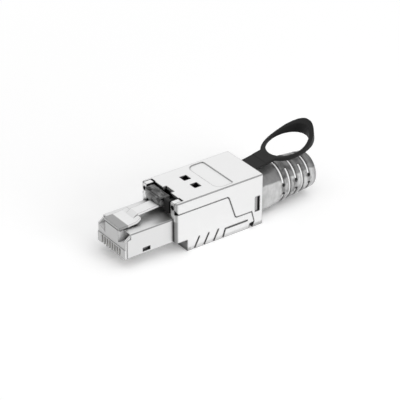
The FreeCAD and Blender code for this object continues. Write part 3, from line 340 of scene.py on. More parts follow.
class PlugShapes(PropertyGroup):
    """Shapes of the soft mouldings. Lengths in millimetres from the cable axis or the body's rear."""

    strap_grain: FloatProperty(
        name="Strap grain", description="Fineness of the strap's rounded copy", unit="LENGTH",
        subtype="DISTANCE", min=0.05 * MM, default=0.11 * MM)
    strap_rounding: IntProperty(
        name="Strap rounding", description="Smoothing passes on the strap", min=0, max=60, default=7)
    ring_fill: FloatProperty(
        name="Ring fill", description="Gives back what the rounding takes from the ring", unit="LENGTH",
        subtype="DISTANCE", default=0.064 * MM)
    ring_depth: FloatProperty(
        name="Ring depth", description="Extra depth on the ring's underside", unit="LENGTH",
        subtype="DISTANCE", default=0.35 * MM)
    strap_play: FloatProperty(
        name="Strap play", description="Room all round the strap, so that it slides freely", unit="LENGTH",
        subtype="DISTANCE", default=0.03 * MM)
    paddle_grain: FloatProperty(
        name="Paddle grain", description="Fineness of the paddle's rounded copy", unit="LENGTH",
        subtype="DISTANCE", min=0.05 * MM, default=0.09 * MM)
    paddle_rounding: IntProperty(
        name="Paddle rounding", description="Smoothing passes on the paddle", min=0, max=60, default=16)
    boot_segments: IntProperty(
        name="Boot segments", description="Divisions round the boot", min=24, max=400, default=200)
    root_length: FloatProperty(name="Root length", description="Straight root of the boot", default=3.5)
    root_blend: FloatProperty(name="Root blend", description="From the root to the round tube", default=4.0)
    root_half_width: FloatProperty(name="Root half width", description="Axis to the root's side", default=4.9)
    root_rise: FloatProperty(name="Root rise", description="Axis to the root's top", default=4.325)
    root_drop: FloatProperty(name="Root drop", description="Axis to the root's bottom", default=4.875)
    root_shoulder: FloatProperty(
        name="Root shoulder", description="Axis to the sloping shoulders", default=5.2)
    root_lower_corner: FloatProperty(
        name="Root lower corner", description="Axis to the rounded lower corners", default=6.05)
    root_crispness: FloatProperty(
        name="Root crispness", description="Sharpness of the root's creases", min=4, max=80, default=34)
    tube_radius: FloatProperty(name="Tube radius", description="Where the tube starts", default=5.5)
    end_radius: FloatProperty(name="End radius", description="At the cable end", default=4.55)
    bore_radius: FloatProperty(name="Bore radius", description="Room for the cable", default=3.6)
    neck_radius: FloatProperty(name="Neck radius", description="Neck inside the gland", default=4.1)
    slot_count: IntProperty(name="Slots", description="Stations with slots", min=0, max=12, default=5)
    slot_first: FloatProperty(name="First slot", description="Behind the body", default=7.5)
    slot_pitch: FloatProperty(name="Slot pitch", description="From slot to slot", default=2.05)
    slot_width: FloatProperty(name="Slot width", description="Width of a slot", default=0.75)
    slot_depth: FloatProperty(name="Slot depth", description="Depth to the thin wall", default=0.3)
    slot_edge: FloatProperty(name="Slot edge", description="Width of a slot's sloping wall", default=0.14)
    slot_bridge: FloatProperty(
        name="Slot bridge", description="Degrees left between an upper and a lower slot", default=16.0)
    side_slot_reach: FloatProperty(
        name="Side slot reach", description="Degrees that a side slot runs up and down", default=57.0)
    pit_radius: FloatProperty(name="Slot end radius", description="Round end of a slot", default=0.42)
    pit_depth: FloatProperty(name="Slot end depth", description="Depth of a slot's round end", default=1.0)


class PlugStage(PropertyGroup):
    """Camera, lamps and floor."""

    azimuth: FloatProperty(
        name="Azimuth", description="Direction that the camera looks from", subtype="ANGLE",
        default=math.radians(-35.89))
    elevation: FloatProperty(
        name="Elevation", description="Camera height above the horizon", subtype="ANGLE",
        default=math.radians(30.17))
    roll: FloatProperty(
        name="Roll", description="Camera roll", subtype="ANGLE", default=math.radians(-0.19))
    distance: FloatProperty(
        name="Distance", description="Camera to the aim point", unit="LENGTH", subtype="DISTANCE",
        default=471.5 * MM)
    aim: FloatVectorProperty(
        name="Aim", description="Point that the camera is aimed at", subtype="TRANSLATION", size=3,
        default=(-2.9 * MM, 0.0, 7.0 * MM))
    aside: FloatVectorProperty(
        name="Aside", description="Camera moved right and up in its own frame", subtype="TRANSLATION", size=2,
        default=(-0.67 * MM, 0.15 * MM))
    lens: FloatProperty(
        name="Lens", description="Focal length in millimetres", unit="CAMERA", default=180.0)
    floor_size: FloatProperty(
        name="Floor size", description="Width of the floor", unit="LENGTH", subtype="DISTANCE", default=8.0)
    floor_plain: FloatProperty(
        name="Floor", description="Whiteness of the floor as it lights the plug", min=0, max=1, default=0.8)
    floor_white: FloatProperty(
        name="Floor seen", description="Whiteness of the floor as it is seen", min=0, max=1, default=0.97)
    floor_glow: FloatProperty(
        name="Floor glow", description="Light that is seen on the floor and lights nothing", min=0, max=1,
        default=0.12)
    shadow_reach: FloatProperty(
        name="Shadow reach", description="Where the floor starts to turn into a plain white backdrop",
        unit="LENGTH", subtype="DISTANCE", default=70 * MM)
    key_power: FloatProperty(
        name="Key lamp", description="Power of the large lamp above", unit="POWER", default=7.6)
    key_spot: FloatVectorProperty(
        name="Key lamp place", description="Middle of the large lamp", subtype="TRANSLATION", size=3,
        default=(0.11, -0.34, 1.2))
    key_size: FloatProperty(
        name="Key lamp size", description="Width of the large lamp", unit="LENGTH", subtype="DISTANCE",
        default=1.7)
    fill_power: FloatProperty(
        name="Fill lamp", description="Power of the lamp beside the plug", unit="POWER", default=7.6)
    fill_spot: FloatVectorProperty(
        name="Fill lamp place", description="Middle of the fill lamp", subtype="TRANSLATION", size=3,
        default=(0.28, -1.4, 0.5))
    fill_size: FloatProperty(
        name="Fill lamp size", description="Width of the fill lamp", unit="LENGTH", subtype="DISTANCE",
        default=0.85)
    sky: FloatProperty(
        name="Sky", description="Light from all around", min=0, max=2, default=0.5)


# Shapes


def rounded_copy(node, grain, passes):
    """A copy of a moulded CAD piece with its sharp edges and inner corners rounded off."""
    piece = bpy.data.objects.new(node + "_moulding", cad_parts[node].data.copy())
    bpy.context.scene.collection.objects.link(piece)
    shape = bmesh.new()
    shape.from_mesh(piece.data)
    bmesh.ops.remove_doubles(shape, verts=shape.verts, dist=0.001 * MM)
    shape.to_mesh(piece.data)
    shape.free()
    grains = piece.modifiers.new("grains", "REMESH")
    grains.mode = "VOXEL"
    grains.voxel_size = grain
    polish = piece.modifiers.new("polish", "SMOOTH")
    polish.factor = 0.5
    polish.iterations = passes
    return applied(piece)


def thicken(piece, by, behind):
    """Moves the skin of a piece outwards where it lies behind a plane."""
    normals = [vertex.normal.copy() for vertex in piece.data.vertices]
    for vertex, normal in zip(piece.data.vertices, normals):
        if vertex.co.x > behind:
            vertex.co += normal * by


def deepen(piece, by, start, run):
    """Lowers the underside of a piece behind a plane, more and more over a run."""
    normals = [vertex.normal.copy() for vertex in piece.data.vertices]
    for vertex, normal in zip(piece.data.vertices, normals):
        share = min(1.0, max(0.0, (vertex.co.x - start) / run))
        vertex.co.z -= by * share * max(0.0, -normal.z)


def applied(piece):
    """The piece with its modifiers made final and its faces shaded smooth."""
    mesh = bpy.data.meshes.new_from_object(piece.evaluated_get(bpy.context.evaluated_depsgraph_get()))
    piece.modifiers.clear()
    piece.data = mesh
    mesh.materials.clear()
    mesh.shade_smooth()
    return piece


def dress(piece, node, body, slot, *materials):
    """Lets a piece stand for its CAD node, with its materials and its body."""
    for material in materials:
        piece.data.materials.append(material)
    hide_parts(node)
    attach(piece, body)


def root_radius(shape, angle):
    """Distance from the cable axis to the outside of the boot's root, for an angle from +Y up."""
    across, up = math.cos(angle), math.sin(angle)
    walls = [
        abs(across) / shape.root_half_width,
        max(0.0, up) / shape.root_rise,
        max(0.0, -up) / shape.root_drop,
        (abs(across) * SHOULDER_NORMAL[0] + up * SHOULDER_NORMAL[1]) / shape.root_shoulder,
        (abs(across) - up) * math.sqrt(0.5) / shape.root_lower_corner,
    ]
    return sum(max(0.0, wall) ** shape.root_crispness for wall in walls) ** (-1.0 / shape.root_crispness)


def outer_radius(shape, length, x, angle):
    """Outside of the boot at a distance x behind the body."""
    tube_start = shape.root_length + shape.root_blend
    run = min(1.0, max(0.0, (x - shape.root_length) / shape.root_blend))
    share = run * run * (3.0 - 2.0 * run)
    taper = min(1.0, max(0.0, (x - tube_start) / (length - tube_start)))
    tube = shape.tube_radius + (shape.end_radius - shape.tube_radius) * taper
    return root_radius(shape, angle) * (1.0 - share) + tube * share


def slot_arcs(shape, index):
    """Middle and half length, in degrees, of the slots at one station."""
    if index % 2 == 0:
        return [(90.0, 90.0 - shape.slot_bridge / 2), (270.0, 90.0 - shape.slot_bridge / 2)]
    return [(0.0, shape.side_slot_reach), (180.0, shape.side_slot_reach)]


def slot_cut(shape, x, angle, radius):
    """Depth of the slots at a point of the boot, and whether it is a slot's bottom (1) or its end (2)."""
    depth, kind = 0.0, 0
    for index in range(shape.slot_count):
        along = abs(x - shape.slot_first - index * shape.slot_pitch)
        if along > 2 * shape.slot_width:
            continue
        for middle, reach in slot_arcs(shape, index):
            turn = abs((math.degrees(angle) - middle + 180.0) % 360.0 - 180.0)
            past = math.radians(turn - reach) * radius
            inside = shape.slot_width / 2 - math.hypot(along, max(0.0, past + shape.slot_width / 2))
            pit = shape.pit_radius - math.hypot(along, past + shape.pit_radius)
            if inside > 0.0:
                share = min(1.0, inside / shape.slot_edge)
                depth = max(depth, shape.slot_depth * share)
                kind = max(kind, 1 if share > BOTTOM_SHARE else 0)
            if pit > 0.0 and index % 2 == 0:
                share = min(1.0, pit / shape.slot_edge)
                depth = max(depth, shape.pit_depth * share)
                kind = max(kind, 2 if share > PIT_SHARE else 0)
    return depth, kind


def boot_stations(shape, length):
    """Distances behind the body, closer together at the slots' walls."""
    steps = range(1, int((length - END_ROOM) / STATION_STEP))
    stations = FIRST_STATIONS + [FIRST_STATIONS[-1] + step * STATION_STEP for step in steps]
    half = shape.slot_width / 2
    for index in range(shape.slot_count):
        middle = shape.slot_first + index * shape.slot_pitch
        stations = [x for x in stations if abs(x - middle) > half + SLOT_ROOM]
        stations += [middle + side * half * share for side in (-1, 1) for share in SLOT_STATIONS]
        stations.append(middle)
    return sorted(stations)


def boot_rows(shape, length, neck_front):
    """Rings of points round the boot: outside, rim, bore and neck.

    Each point is its distance behind the body, its angle, its radius and its kind of skin.
    """
    angles = [2 * math.pi * step / shape.boot_segments for step in range(shape.boot_segments)]
    rows = []
    for x in boot_stations(shape, length):
        row = []
        for angle in angles:
            radius = outer_radius(shape, length, x, angle)
            depth, kind = slot_cut(shape, x, angle, radius)
            row.append((x, angle, radius - depth, kind))
        rows.append(row)
    rings = [(length - back, shape.end_radius - inward) for back, inward in RIM]
    rings += [
        (length, shape.bore_radius + 0.2),
        (length - 0.1, shape.bore_radius),
        (length * 0.66, shape.bore_radius),
        (length * 0.33, shape.bore_radius),
        (neck_front, shape.bore_radius),
        (neck_front, shape.neck_radius),
        (-0.02, shape.neck_radius),
    ]
    return rows + [[(x, angle, radius, 0) for angle in angles] for x, radius in rings]


def slotted_boot(shape):
    """Strain relief: square root with sloping shoulders, a tapered tube, and slots with a thin bottom."""
    low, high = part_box("boot")
    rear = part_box("top_cover")[1].x / MM
    axis = sum(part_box("shield_spring")[side].z for side in (0, 1)) / 2 / MM
    rows = boot_rows(shape, high.x / MM - rear, low.x / MM - rear)
    work = bmesh.new()
    grid = [[work.verts.new(((rear + x) * MM, radius * math.cos(angle) * MM,
                             (axis + radius * math.sin(angle)) * MM)) for x, angle, radius, kind in row]
            for row in rows]
    for index in range(len(grid)):
        after = (index + 1) % len(grid)
        for step in range(shape.boot_segments):
            beside = (step + 1) % shape.boot_segments
            corners = ((index, step), (after, step), (after, beside), (index, beside))
            face = work.faces.new([grid[i][j] for i, j in corners])
            kinds = [rows[i][j][3] for i, j in corners]
            # kind 1 faces take the pale painted light of a slot's bottom, kind 2 the painted shade of its end
            face.material_index = max(kinds) if min(kinds) > 0 or max(kinds) == 2 else 0
            face.smooth = True
    bmesh.ops.recalc_face_normals(work, faces=work.faces)
    mesh = bpy.data.meshes.new("boot_moulding")
    work.to_mesh(mesh)
    work.free()
    piece = bpy.data.objects.new("boot_moulding", mesh)
    bpy.context.scene.collection.objects.link(piece)
    return piece


# Finishes


def cast_metal(look):
    """Satin nickel plating on a die casting: fine orange peel, soft edges, dull in its corners, and painted
    shade in its corners, along its edges and folds and on its lower front faces.
    """
    f = Finish("nickel_plated_casting")
    spot = f.place()
    soft = f.rounded(look.edge_radius)
    edge = f.edges(f.rounded(look.edge_width))
    cloud = f.noise(spot, per_mm=0.35, detail=4.0)
    peel = f.noise(spot, per_mm=5.5, detail=2.0)
    flow = f.noise(f.stretched(0.5, 2.2, 2.2), per_mm=1.1)
    corner = casting_painted_shade(f) * look.corner_shade
    body = f.blend((cloud * 0.7 + flow * 0.3).limit(), scaled(look.cast_metal, 0.96), look.cast_metal)
    # painted shade: sharp edges darker, unevenly with the cloud
    body = f.blend((edge * look.edge_shade * (0.6 + 0.8 * cloud)).limit(), body, grey(0.22))
    # painted shade: slanting and curved faces, such as fillets, darker
    body = f.blend(f.bends() * look.edge_shade * 0.9, body, grey(0.12))
    # painted shade: faces towards the plug's front, below the ears, darker
    front_painted_shade = f.ahead(soft, start=0.3, rise=3.0) * f.before("Z", FRONT_SHADE_TOP)
    body = f.blend(front_painted_shade, body, scaled(look.cast_metal, 0.34))
    # painted shade: seams, corners and holes near black
    colour = f.blend(corner, body, grey(0.004))
    rough = (0.34 + 0.1 * (cloud - 0.5) + 0.05 * (flow - 0.5) + 0.2 * corner + 0.2 * f.bends()).limit()
    normal = f.bump(peel + 0.6 * flow, strength=0.3, depth=0.02 * MM, normal=soft)
    return f.surface(Base_Color=colour, Metallic=0.8, Roughness=rough, Normal=normal)


def casting_painted_shade(f):
    """Mask of painted shade in the casting's seams, corners and holes, weaker in the label, the grooves and
    the windows.
    """
    low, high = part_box("top_cover")
    front, rear, top = low.x / MM, high.x / MM, high.z / MM
    seam = f.recess(1.3 * MM, start=0.06, rise=3.2) * f.beyond("Z", -0.3, rise=0.9)
    corner = seam.most(f.recess(3.0 * MM, start=0.14, rise=2.2, alone=True))
    label = f.beyond("X", front + LABEL_START) * f.beyond("Z", top - LABEL_DEPTH, rise=8.0)
    grooves = f.before("Z", GROOVES_TOP) * f.beyond("X", front + GROOVES_START)
    grooves = grooves * f.before("X", rear - GROOVES_END)
    window = f.beyond("X", rear - WINDOW_START) * f.beyond("Z", WINDOW_BOTTOM) * f.before("Z", WINDOW_TOP)
    return corner * (1.0 - 0.72 * label) * (1.0 - 0.5 * grooves) * (1.0 - 0.45 * window)


def sheet_metal(look):
    """Thin plated sheet: drawn lines along the plug, a tighter gloss than the casting, and painted shade
    along its edges and folds and in its corners.
    """
    f = Finish("plated_sheet")
    soft = f.rounded(0.06 * MM)
    edge = f.edges(soft)
    cloud = f.noise(f.place(), per_mm=0.5, detail=4.0)
    drawn = f.noise(f.stretched(0.05, 1.6, 1.6), per_mm=4.0, detail=2.0)
    corner = f.recess(3.0 * MM, start=0.03, rise=0.98) * look.corner_shade
    grain = (0.5 * cloud + 0.5 * drawn).limit()
    body = f.blend(grain, scaled(look.sheet_metal, 0.97), look.sheet_metal)
    # painted shade: sharp edges darker
    body = f.blend((edge * look.edge_shade).limit(), body, grey(0.2))
    # painted shade: folds darker
    body = f.blend(f.bends() * look.edge_shade, body, grey(0.1))
    # painted shade: darker near corners and near the parts beside it, such as the body and the paddle
    colour = f.blend(corner, body, scaled(look.sheet_metal, 0.17))
    rough = (0.32 + 0.06 * (cloud - 0.5) + 0.05 * (drawn - 0.5) + 0.3 * f.bends()).limit()
    normal = f.bump(drawn, strength=0.12, depth=0.006 * MM, normal=soft)
    return f.surface(Base_Color=colour, Metallic=0.8, Roughness=rough, Normal=normal)


def steel():
    """Turned or stamped steel of the pins and the screen spring."""
    f = Finish("bright_steel")
    drawn = f.noise(f.stretched(3.0, 0.2, 3.0), per_mm=3.0)
    colour = f.blend(drawn, grey(0.5), grey(0.62))
    return f.surface(Base_Color=colour, Metallic=1.0, Roughness=(0.25 + 0.15 * drawn).limit(),
                     Normal=f.bump(drawn, strength=0.2, depth=0.01 * MM))


def clear_plastic(look, name, clearness, wall, lip=None, comb=None):
    """Polycarbonate with flow marks, a frosted skin, and painted shade along its edges, in its recesses and
    on faces towards the plug's front; wall is the share of the colour kept on those faces.

    It is painted greyer as shade ahead of the lip, and its painted shade in recesses is weaker ahead of the
    comb, both places along the plug.
    """
    f = Finish(name)
    soft = f.rounded(0.07 * MM)
    edge = f.edges(f.rounded(0.2 * MM))
    flow = f.noise(f.stretched(0.4, 1.6, 1.6), per_mm=0.9, detail=2.0)
    skin = f.noise(f.place(), per_mm=7.0, detail=2.0)
    corner = f.recess(1.4 * MM, start=0.16, rise=2.0) * look.corner_shade
    if comb:
        # less painted shade in recesses ahead of the comb
        corner = corner * (0.35 + 0.65 * f.beyond("X", comb, rise=3.0))
    colour = f.blend(flow, scaled(look.clear_plastic, 0.93), look.clear_plastic)
    if lip:
        # painted shade: greyer ahead of the lip
        colour = f.blend(f.before("X", lip, rise=3.0), colour, scaled(look.clear_plastic, 0.36))
    # painted shade: faces towards the plug's front darker, by the wall share
    colour = f.blend(f.ahead(soft, start=0.8, rise=6.0), colour, scaled(look.clear_plastic, wall))
    # painted shade: sharp edges darker
    colour = f.blend((edge * look.edge_shade).limit(), colour, grey(0.12))
    # painted shade: corners and recesses darker
    colour = f.blend(corner, colour, grey(0.03))
    rough = (0.1 + 0.12 * (flow - 0.4) + 0.04 * skin).limit()
    normal = f.bump(flow + 0.2 * skin, strength=0.15, depth=0.03 * MM, normal=soft)
    return f.surface(Base_Color=colour, Roughness=rough, IOR=POLYCARBONATE_IOR, Transmission_Weight=clearness,
                     Normal=normal)


def smoke_plastic(look):
    """Glossy tinted polycarbonate of the release paddle, with random dark patches and pale streaks as painted
    highlights and reflections, and edges painted paler as a highlight.
    """
    f = Finish("smoke_polycarbonate")
    soft = f.rounded(0.1 * MM)
    flow = f.noise(f.stretched(1.0, 0.5, 1.0), per_mm=0.9, detail=2.0)
    skin = f.noise(f.place(), per_mm=6.0, detail=2.0)
    edge = f.edges(soft)
    # painted highlights and reflections: random dark patches and pale streaks
    mottle = ((flow - 0.5) * 7.0 + 0.3).limit()
    colour = f.blend(mottle, scaled(look.smoke_plastic, 0.1), scaled(look.smoke_plastic, 2.3))
    # painted highlight: edges paler
    colour = f.blend((edge * look.edge_shade).limit(), colour, grey(0.5))
    rough = (0.06 + 0.08 * flow + 0.03 * skin).limit()
    normal = f.bump(flow + 0.1 * skin, strength=0.4, depth=0.12 * MM, normal=soft)
    return f.surface(Base_Color=colour, Roughness=rough, IOR=POLYCARBONATE_IOR, Transmission_Weight=0.3,
                     Normal=normal)


def strap_plastic(look):
    """Black nylon with a fine spark-eroded skin."""
    f = Finish("black_nylon")
    spot = f.place()
    cloud = f.noise(spot, per_mm=0.4)
    skin = f.noise(spot, per_mm=6.0, roughness=0.7)
    lines = f.noise(f.stretched(0.3, 2.5, 2.5), per_mm=1.2, detail=2.0)
    corner = f.recess(1.5 * MM) * look.corner_shade
    worn = (0.6 * cloud + 0.3 * lines).limit()
    colour = f.blend(worn, look.strap_plastic, scaled(look.strap_plastic, 1.6))
    # painted shade: corners and seams darker
    colour = f.blend(corner, colour, scaled(look.strap_plastic, 0.2))
    rough = (0.5 + 0.14 * (cloud - 0.5) + 0.12 * (skin - 0.5)).limit()
    return f.surface(Base_Color=colour, Roughness=rough, Specular_IOR_Level=0.15,
                     Normal=f.bump(skin + 0.3 * lines, strength=0.3, depth=0.02 * MM))


def boot_plastic(look, first_slot, half_pitch):
    """Glossy translucent elastomer: a painted shadow above its core, pale below, with painted shade towards
    the underside, beside its slots and in its corners.
    """
    f = Finish("translucent_elastomer")
    spot = f.place()
    cloud = f.noise(spot, per_mm=0.5)
    flow = f.noise(f.stretched(1.6, 0.5, 0.5), per_mm=0.8)
    skin = f.noise(spot, per_mm=4.0, detail=2.0)
    corner = f.recess(1.2 * MM, start=0.06, rise=2.6) * look.corner_shade
    from_slot = (f.along("X") - first_slot).folded(half_pitch) / half_pitch
    slotted = f.beyond("X", first_slot - 1.2, rise=2.0)
    band = (1.0 - (1.0 - from_slot) * slotted * 0.9).limit()
    # painted shadow and dark reflection: darker above the core, under the ring
    top_painted_shadow = ((f.along("Z") - PAINTED_SHADOW_ABOVE + 1.2 * (cloud - 0.5)) * 2.4).limit()
    busy = 0.8 + 2.2 * slotted
    mottle = (((cloud - 0.5) + (flow - 0.5) * 0.7) * busy + 0.76 - 0.12 * slotted).limit()
    # painted shade: the mottle darker towards each slot, by the band
    mottle = mottle * (0.25 + 0.75 * band)
    # painted shade: darker towards the underside
    low = f.before("Z", SHADED_BELOW, rise=0.6)
    pale = f.blend(mottle, scaled(look.boot_plastic, 0.38), scaled(look.boot_plastic, 1.38))
    pale = f.blend(low * 0.6, pale, scaled(look.boot_plastic, 0.3))
    dark = f.blend(mottle, scaled(look.boot_plastic, 0.1), scaled(look.boot_plastic, 0.46))
    # painted shade: corners darker
    colour = f.blend(corner, f.blend(top_painted_shadow, pale, dark), scaled(look.boot_plastic, 0.08))
    rough = (0.12 + 0.1 * (cloud - 0.5) + 0.08 * (flow - 0.5)).limit()
    normal = f.bump(flow + 0.2 * skin, strength=0.25, depth=0.08 * MM)
    return f.surface(Base_Color=colour, Roughness=rough, IOR=ELASTOMER_IOR, Transmission_Weight=0.4,
                     Normal=normal)


def slot_skin_painted_light():
    """Thin wall at the bottom of the boot's slots, painted pale as light that comes through it."""
    f = Finish("thin_elastomer_painted_light")
    cloud = f.noise(f.place(), per_mm=0.8)
    return f.surface(Base_Color=f.blend(cloud, grey(0.82), grey(0.97)),
                     Roughness=(0.15 + 0.1 * cloud).limit(), IOR=ELASTOMER_IOR)


def slot_end_painted_shade():
    """Deep round end of a slot, painted dark as shade."""
    f = Finish("slot_end_painted_shade")
    cloud = f.noise(f.place(), per_mm=0.8)
    return f.surface(Base_Color=f.blend(cloud, grey(0.02), grey(0.06)), Roughness=(0.4 + 0.1 * cloud).limit())


def moulded(name, shade, roughness):
    """Opaque moulded plastic with a fine skin."""
    f = Finish(name)
    spot = f.place()
    soft = f.rounded(0.1 * MM)
    cloud = f.noise(spot, per_mm=0.5)
    skin = f.noise(spot, per_mm=6.0, detail=2.0)
    colour = f.blend(cloud, grey(shade * 0.9), grey(min(1.0, shade * 1.12)))
    rough = (roughness + 0.12 * (cloud - 0.5) + 0.08 * (skin - 0.5)).limit()
    normal = f.bump(skin, strength=0.25, depth=0.02 * MM, normal=soft)
    return f.surface(Base_Color=colour, Roughness=rough, Normal=normal)


def plated(name, colour, roughness, metallic=1.0):
    """Thin plating over stamped copper alloy."""
    f = Finish(name)
    drawn = f.noise(f.stretched(0.3, 4.0, 4.0), per_mm=3.0)
    shade = f.blend(drawn, scaled(colour, 0.85), scaled(colour, 1.0))
    return f.surface(Base_Color=shade, Metallic=metallic, Roughness=(roughness + 0.1 * drawn).limit(),
                     Normal=f.bump(drawn, strength=0.2, depth=0.008 * MM))


def board_finish():
    """Green solder mask over copper tracks that run along the board."""
    f = Finish("solder_mask")
    wander = f.noise(f.stretched(1.0, 0.0, 0.0), per_mm=0.25, detail=1.0)
    lane = (f.along("Y") + 1.2 * wander).folded(TRACK_PITCH / 2)
    track = ((TRACK_HALF_WIDTH - lane) * 25.0).limit()
    colour = f.blend(track, (0.012, 0.075, 0.03, 1.0), (0.03, 0.16, 0.06, 1.0))
    return f.surface(Base_Color=colour, Roughness=(0.28 + 0.1 * (1.0 - track)).limit(),
                     Normal=f.bump(track, strength=0.5, depth=0.03 * MM))


# Operators


class PLUG_OT_body(Operator):
    """Finish the lower housing, the cover and the hinge pins"""

    bl_idname = "plug.body"
    bl_label = "Die-cast body"

    def execute(self, context):
        look = context.scene.plug_finishes
        paint(cast_metal(look), "lower_housing", "top_cover")
        paint(steel(), "hinge_pin_left", "hinge_pin_right", "shield_spring")
        return {"FINISHED"}


class PLUG_OT_nose(Operator):
    """Finish the plug nose: shield, insulator, latch lever and contacts"""

    bl_idname = "plug.nose"
    bl_label = "Plug nose"

    def execute(self, context):
        look = context.scene.plug_finishes
        paint(sheet_metal(look), "plug_shield")
        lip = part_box("latch_lever")[0].x / MM + look.lip_length
        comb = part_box("plug_nose")[0].x / MM + look.comb_depth
        milky = clear_plastic(look, "milky_polycarbonate", clearness=0.2, wall=0.9, comb=comb)
        clear = clear_plastic(look, "clear_polycarbonate", clearness=0.04, wall=0.6, lip=lip)
        paint(milky, "plug_nose")
        paint(clear, "latch_lever")
        gold = plated("gold_plating", PALE_GOLD, roughness=0.35, metallic=0.6)
        paint(gold, *["contact_%d" % number for number in CONTACTS])
        return {"FINISHED"}


class PLUG_OT_release(Operator):
    """Finish the release paddle and the pull strap with its ring"""

    bl_idname = "plug.release"
    bl_label = "Paddle and pull strap"

    def execute(self, context):
        look = context.scene.plug_finishes
        shape = context.scene.plug_shapes
        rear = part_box("top_cover")[1].x
        strap = rounded_copy("pull_strap", shape.strap_grain, shape.strap_rounding)
        thicken(strap, shape.ring_fill, rear + RING_START)
        thicken(strap, -shape.strap_play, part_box("pull_strap")[0].x - 1 * MM)
        deepen(strap, shape.ring_depth, rear + RING_DEEPER, RING_DEEPER_RUN)
        dress(strap, "pull_strap", "pull", "black_plastic", strap_plastic(look))
        paddle = rounded_copy("release_paddle", shape.paddle_grain, shape.paddle_rounding)
        dress(paddle, "release_paddle", "latch", "smoke_plastic", smoke_plastic(look))
        return {"FINISHED"}


class PLUG_OT_boot(Operator):
    """Finish the boot and the cable gland"""

    bl_idname = "plug.boot"
    bl_label = "Boot and gland"

    def execute(self, context):
        look = context.scene.plug_finishes
        shape = context.scene.plug_shapes
        first_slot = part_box("top_cover")[1].x / MM + shape.slot_first
        boot = slotted_boot(shape)
        dress(boot, "boot", "cover", "boot_plastic", boot_plastic(look, first_slot, shape.slot_pitch / 2),
              slot_skin_painted_light(), slot_end_painted_shade())
        paint(moulded("grey_gland_plastic", look.gland_shade, roughness=0.4), "cable_gland")
        return {"FINISHED"}


class PLUG_OT_terminals(Operator):
    """Finish the circuit board, terminal block, blades and wire manager"""

    bl_idname = "plug.terminals"
    bl_label = "Terminals"

    def execute(self, context):
        look = context.scene.plug_finishes
        paint(board_finish(), "circuit_board")
        paint(moulded("terminal_plastic", look.terminal_shade, roughness=0.45), "terminal_block")
        paint(moulded("manager_plastic", look.manager_shade, roughness=0.5), "wire_manager")
        tin = plated("tin_plating", TIN, roughness=0.3)
        paint(tin, *["terminal_blade_%d" % number for number in CONTACTS])
        return {"FINISHED"}


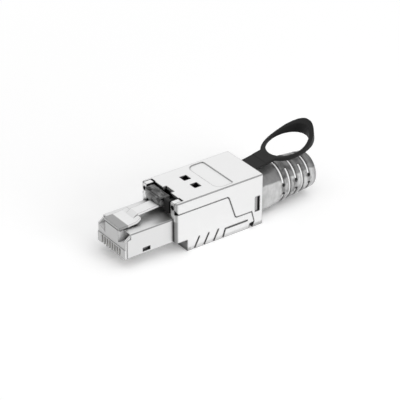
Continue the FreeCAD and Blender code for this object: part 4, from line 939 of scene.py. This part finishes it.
class PLUG_OT_stage(Operator):
    """Make the floor, the lamps, the surroundings and the camera"""

    bl_idname = "plug.stage"
    bl_label = "Stage and camera"

    def execute(self, context):
        scene = context.scene
        stage = scene.plug_stage
        scene.view_settings.view_transform = "Standard"
        self.camera(scene, stage)
        self.floor(scene, stage)
        self.sky(scene, stage)
        self.lamp(scene, "key_lamp", stage.key_power, stage.key_spot, stage.key_size)
        self.lamp(scene, "fill_lamp", stage.fill_power, stage.fill_spot, stage.fill_size)
        return {"FINISHED"}

    def camera(self, scene, stage):
        data = bpy.data.cameras.new("camera")
        data.lens = stage.lens
        data.sensor_width = 36.0
        data.clip_start = 0.01
        camera = bpy.data.objects.new("camera", data)
        scene.collection.objects.link(camera)
        level = math.cos(stage.elevation)
        right = Vector((math.cos(stage.azimuth), math.sin(stage.azimuth), 0.0))
        back = Vector((right.y * level, -right.x * level, math.sin(stage.elevation)))
        up = back.cross(right)
        c, s = math.cos(stage.roll), math.sin(stage.roll)
        right, up = c * right - s * up, s * right + c * up
        spot = Vector(stage.aim) + right * stage.aside[0] + up * stage.aside[1] + back * stage.distance
        turn = Matrix((right, up, back)).transposed().to_4x4()
        camera.matrix_world = Matrix.Translation(spot) @ turn
        scene.camera = camera

    def floor(self, scene, stage):
        mesh = bpy.data.meshes.new("floor")
        shape = bmesh.new()
        bmesh.ops.create_grid(shape, x_segments=1, y_segments=1, size=stage.floor_size / 2)
        shape.to_mesh(mesh)
        shape.free()
        floor = bpy.data.objects.new("floor", mesh)
        scene.collection.objects.link(floor)
        f = Finish("white_floor")
        plain = f.node("BsdfDiffuse", {}, {"Color": grey(stage.floor_plain)})
        white = f.node("BsdfDiffuse", {}, {"Color": grey(stage.floor_white)})
        glow = f.node("Emission", {}, {"Color": grey(1.0), "Strength": stage.floor_glow})
        near = f.node("AddShader", {}, {0: white, 1: glow})
        backdrop = f.node("Emission", {}, {"Color": grey(1.0), "Strength": 1.0})
        away = f.node("VectorMath", {"operation": "LENGTH"}, {0: f.place()}, "Value")
        reach = stage.shadow_reach / MM
        seen = f.node("MixShader", {}, {0: ((away - reach) / reach).limit(), 1: near, 2: backdrop})
        f.close(f.node("MixShader", {}, {0: f.sight(), 1: plain, 2: seen}))
        mesh.materials.append(f.material)

    def sky(self, scene, stage):
        f = Finish("studio", "worlds")
        strength = stage.sky + (1.0 - stage.sky) * f.sight()
        f.close(f.node("Background", {}, {"Color": grey(1.0), "Strength": strength}), "World")
        scene.world = f.material

    def lamp(self, scene, name, power, spot, size):
        data = bpy.data.lights.new(name, "AREA")
        data.shape = "DISK"
        data.size = size
        data.energy = power
        lamp = bpy.data.objects.new(name, data)
        lamp.location = spot
        lamp.visible_glossy = False     # the metal shows the white surroundings, and no lamp that clips
        lamp.rotation_mode = "QUATERNION"
        lamp.rotation_quaternion = (LAMP_TARGET - lamp.location).to_track_quat("-Z", "Y")
        scene.collection.objects.link(lamp)


class PLUG_PT_panel(Panel):
    """Plug settings and steps"""

    bl_idname = "PLUG_PT_panel"
    bl_label = "Field termination plug"
    bl_space_type = "VIEW_3D"
    bl_region_type = "UI"
    bl_category = "Plug"

    def draw(self, context):
        for group in (context.scene.plug_finishes, context.scene.plug_shapes, context.scene.plug_stage):
            column = self.layout.column()
            for key in group.bl_rna.properties.keys():
                if key not in ("rna_type", "name"):
                    column.prop(group, key)
        for step in STEPS:
            self.layout.operator(step.bl_idname)


STEPS = (PLUG_OT_stage, PLUG_OT_body, PLUG_OT_nose, PLUG_OT_release, PLUG_OT_boot, PLUG_OT_terminals)
CLASSES = (PlugFinishes, PlugShapes, PlugStage) + STEPS + (PLUG_PT_panel,)


def register():
    for item in CLASSES:
        bpy.utils.register_class(item)
    bpy.types.Scene.plug_finishes = PointerProperty(type=PlugFinishes)
    bpy.types.Scene.plug_shapes = PointerProperty(type=PlugShapes)
    bpy.types.Scene.plug_stage = PointerProperty(type=PlugStage)


def unregister():
    del bpy.types.Scene.plug_stage
    del bpy.types.Scene.plug_shapes
    del bpy.types.Scene.plug_finishes
    for item in reversed(CLASSES):
        bpy.utils.unregister_class(item)


def main():
    register()
    bpy.ops.plug.stage()
    bpy.ops.plug.body()
    bpy.ops.plug.nose()
    bpy.ops.plug.release()
    bpy.ops.plug.boot()
    bpy.ops.plug.terminals()


if __name__ == "__main__":
    main()
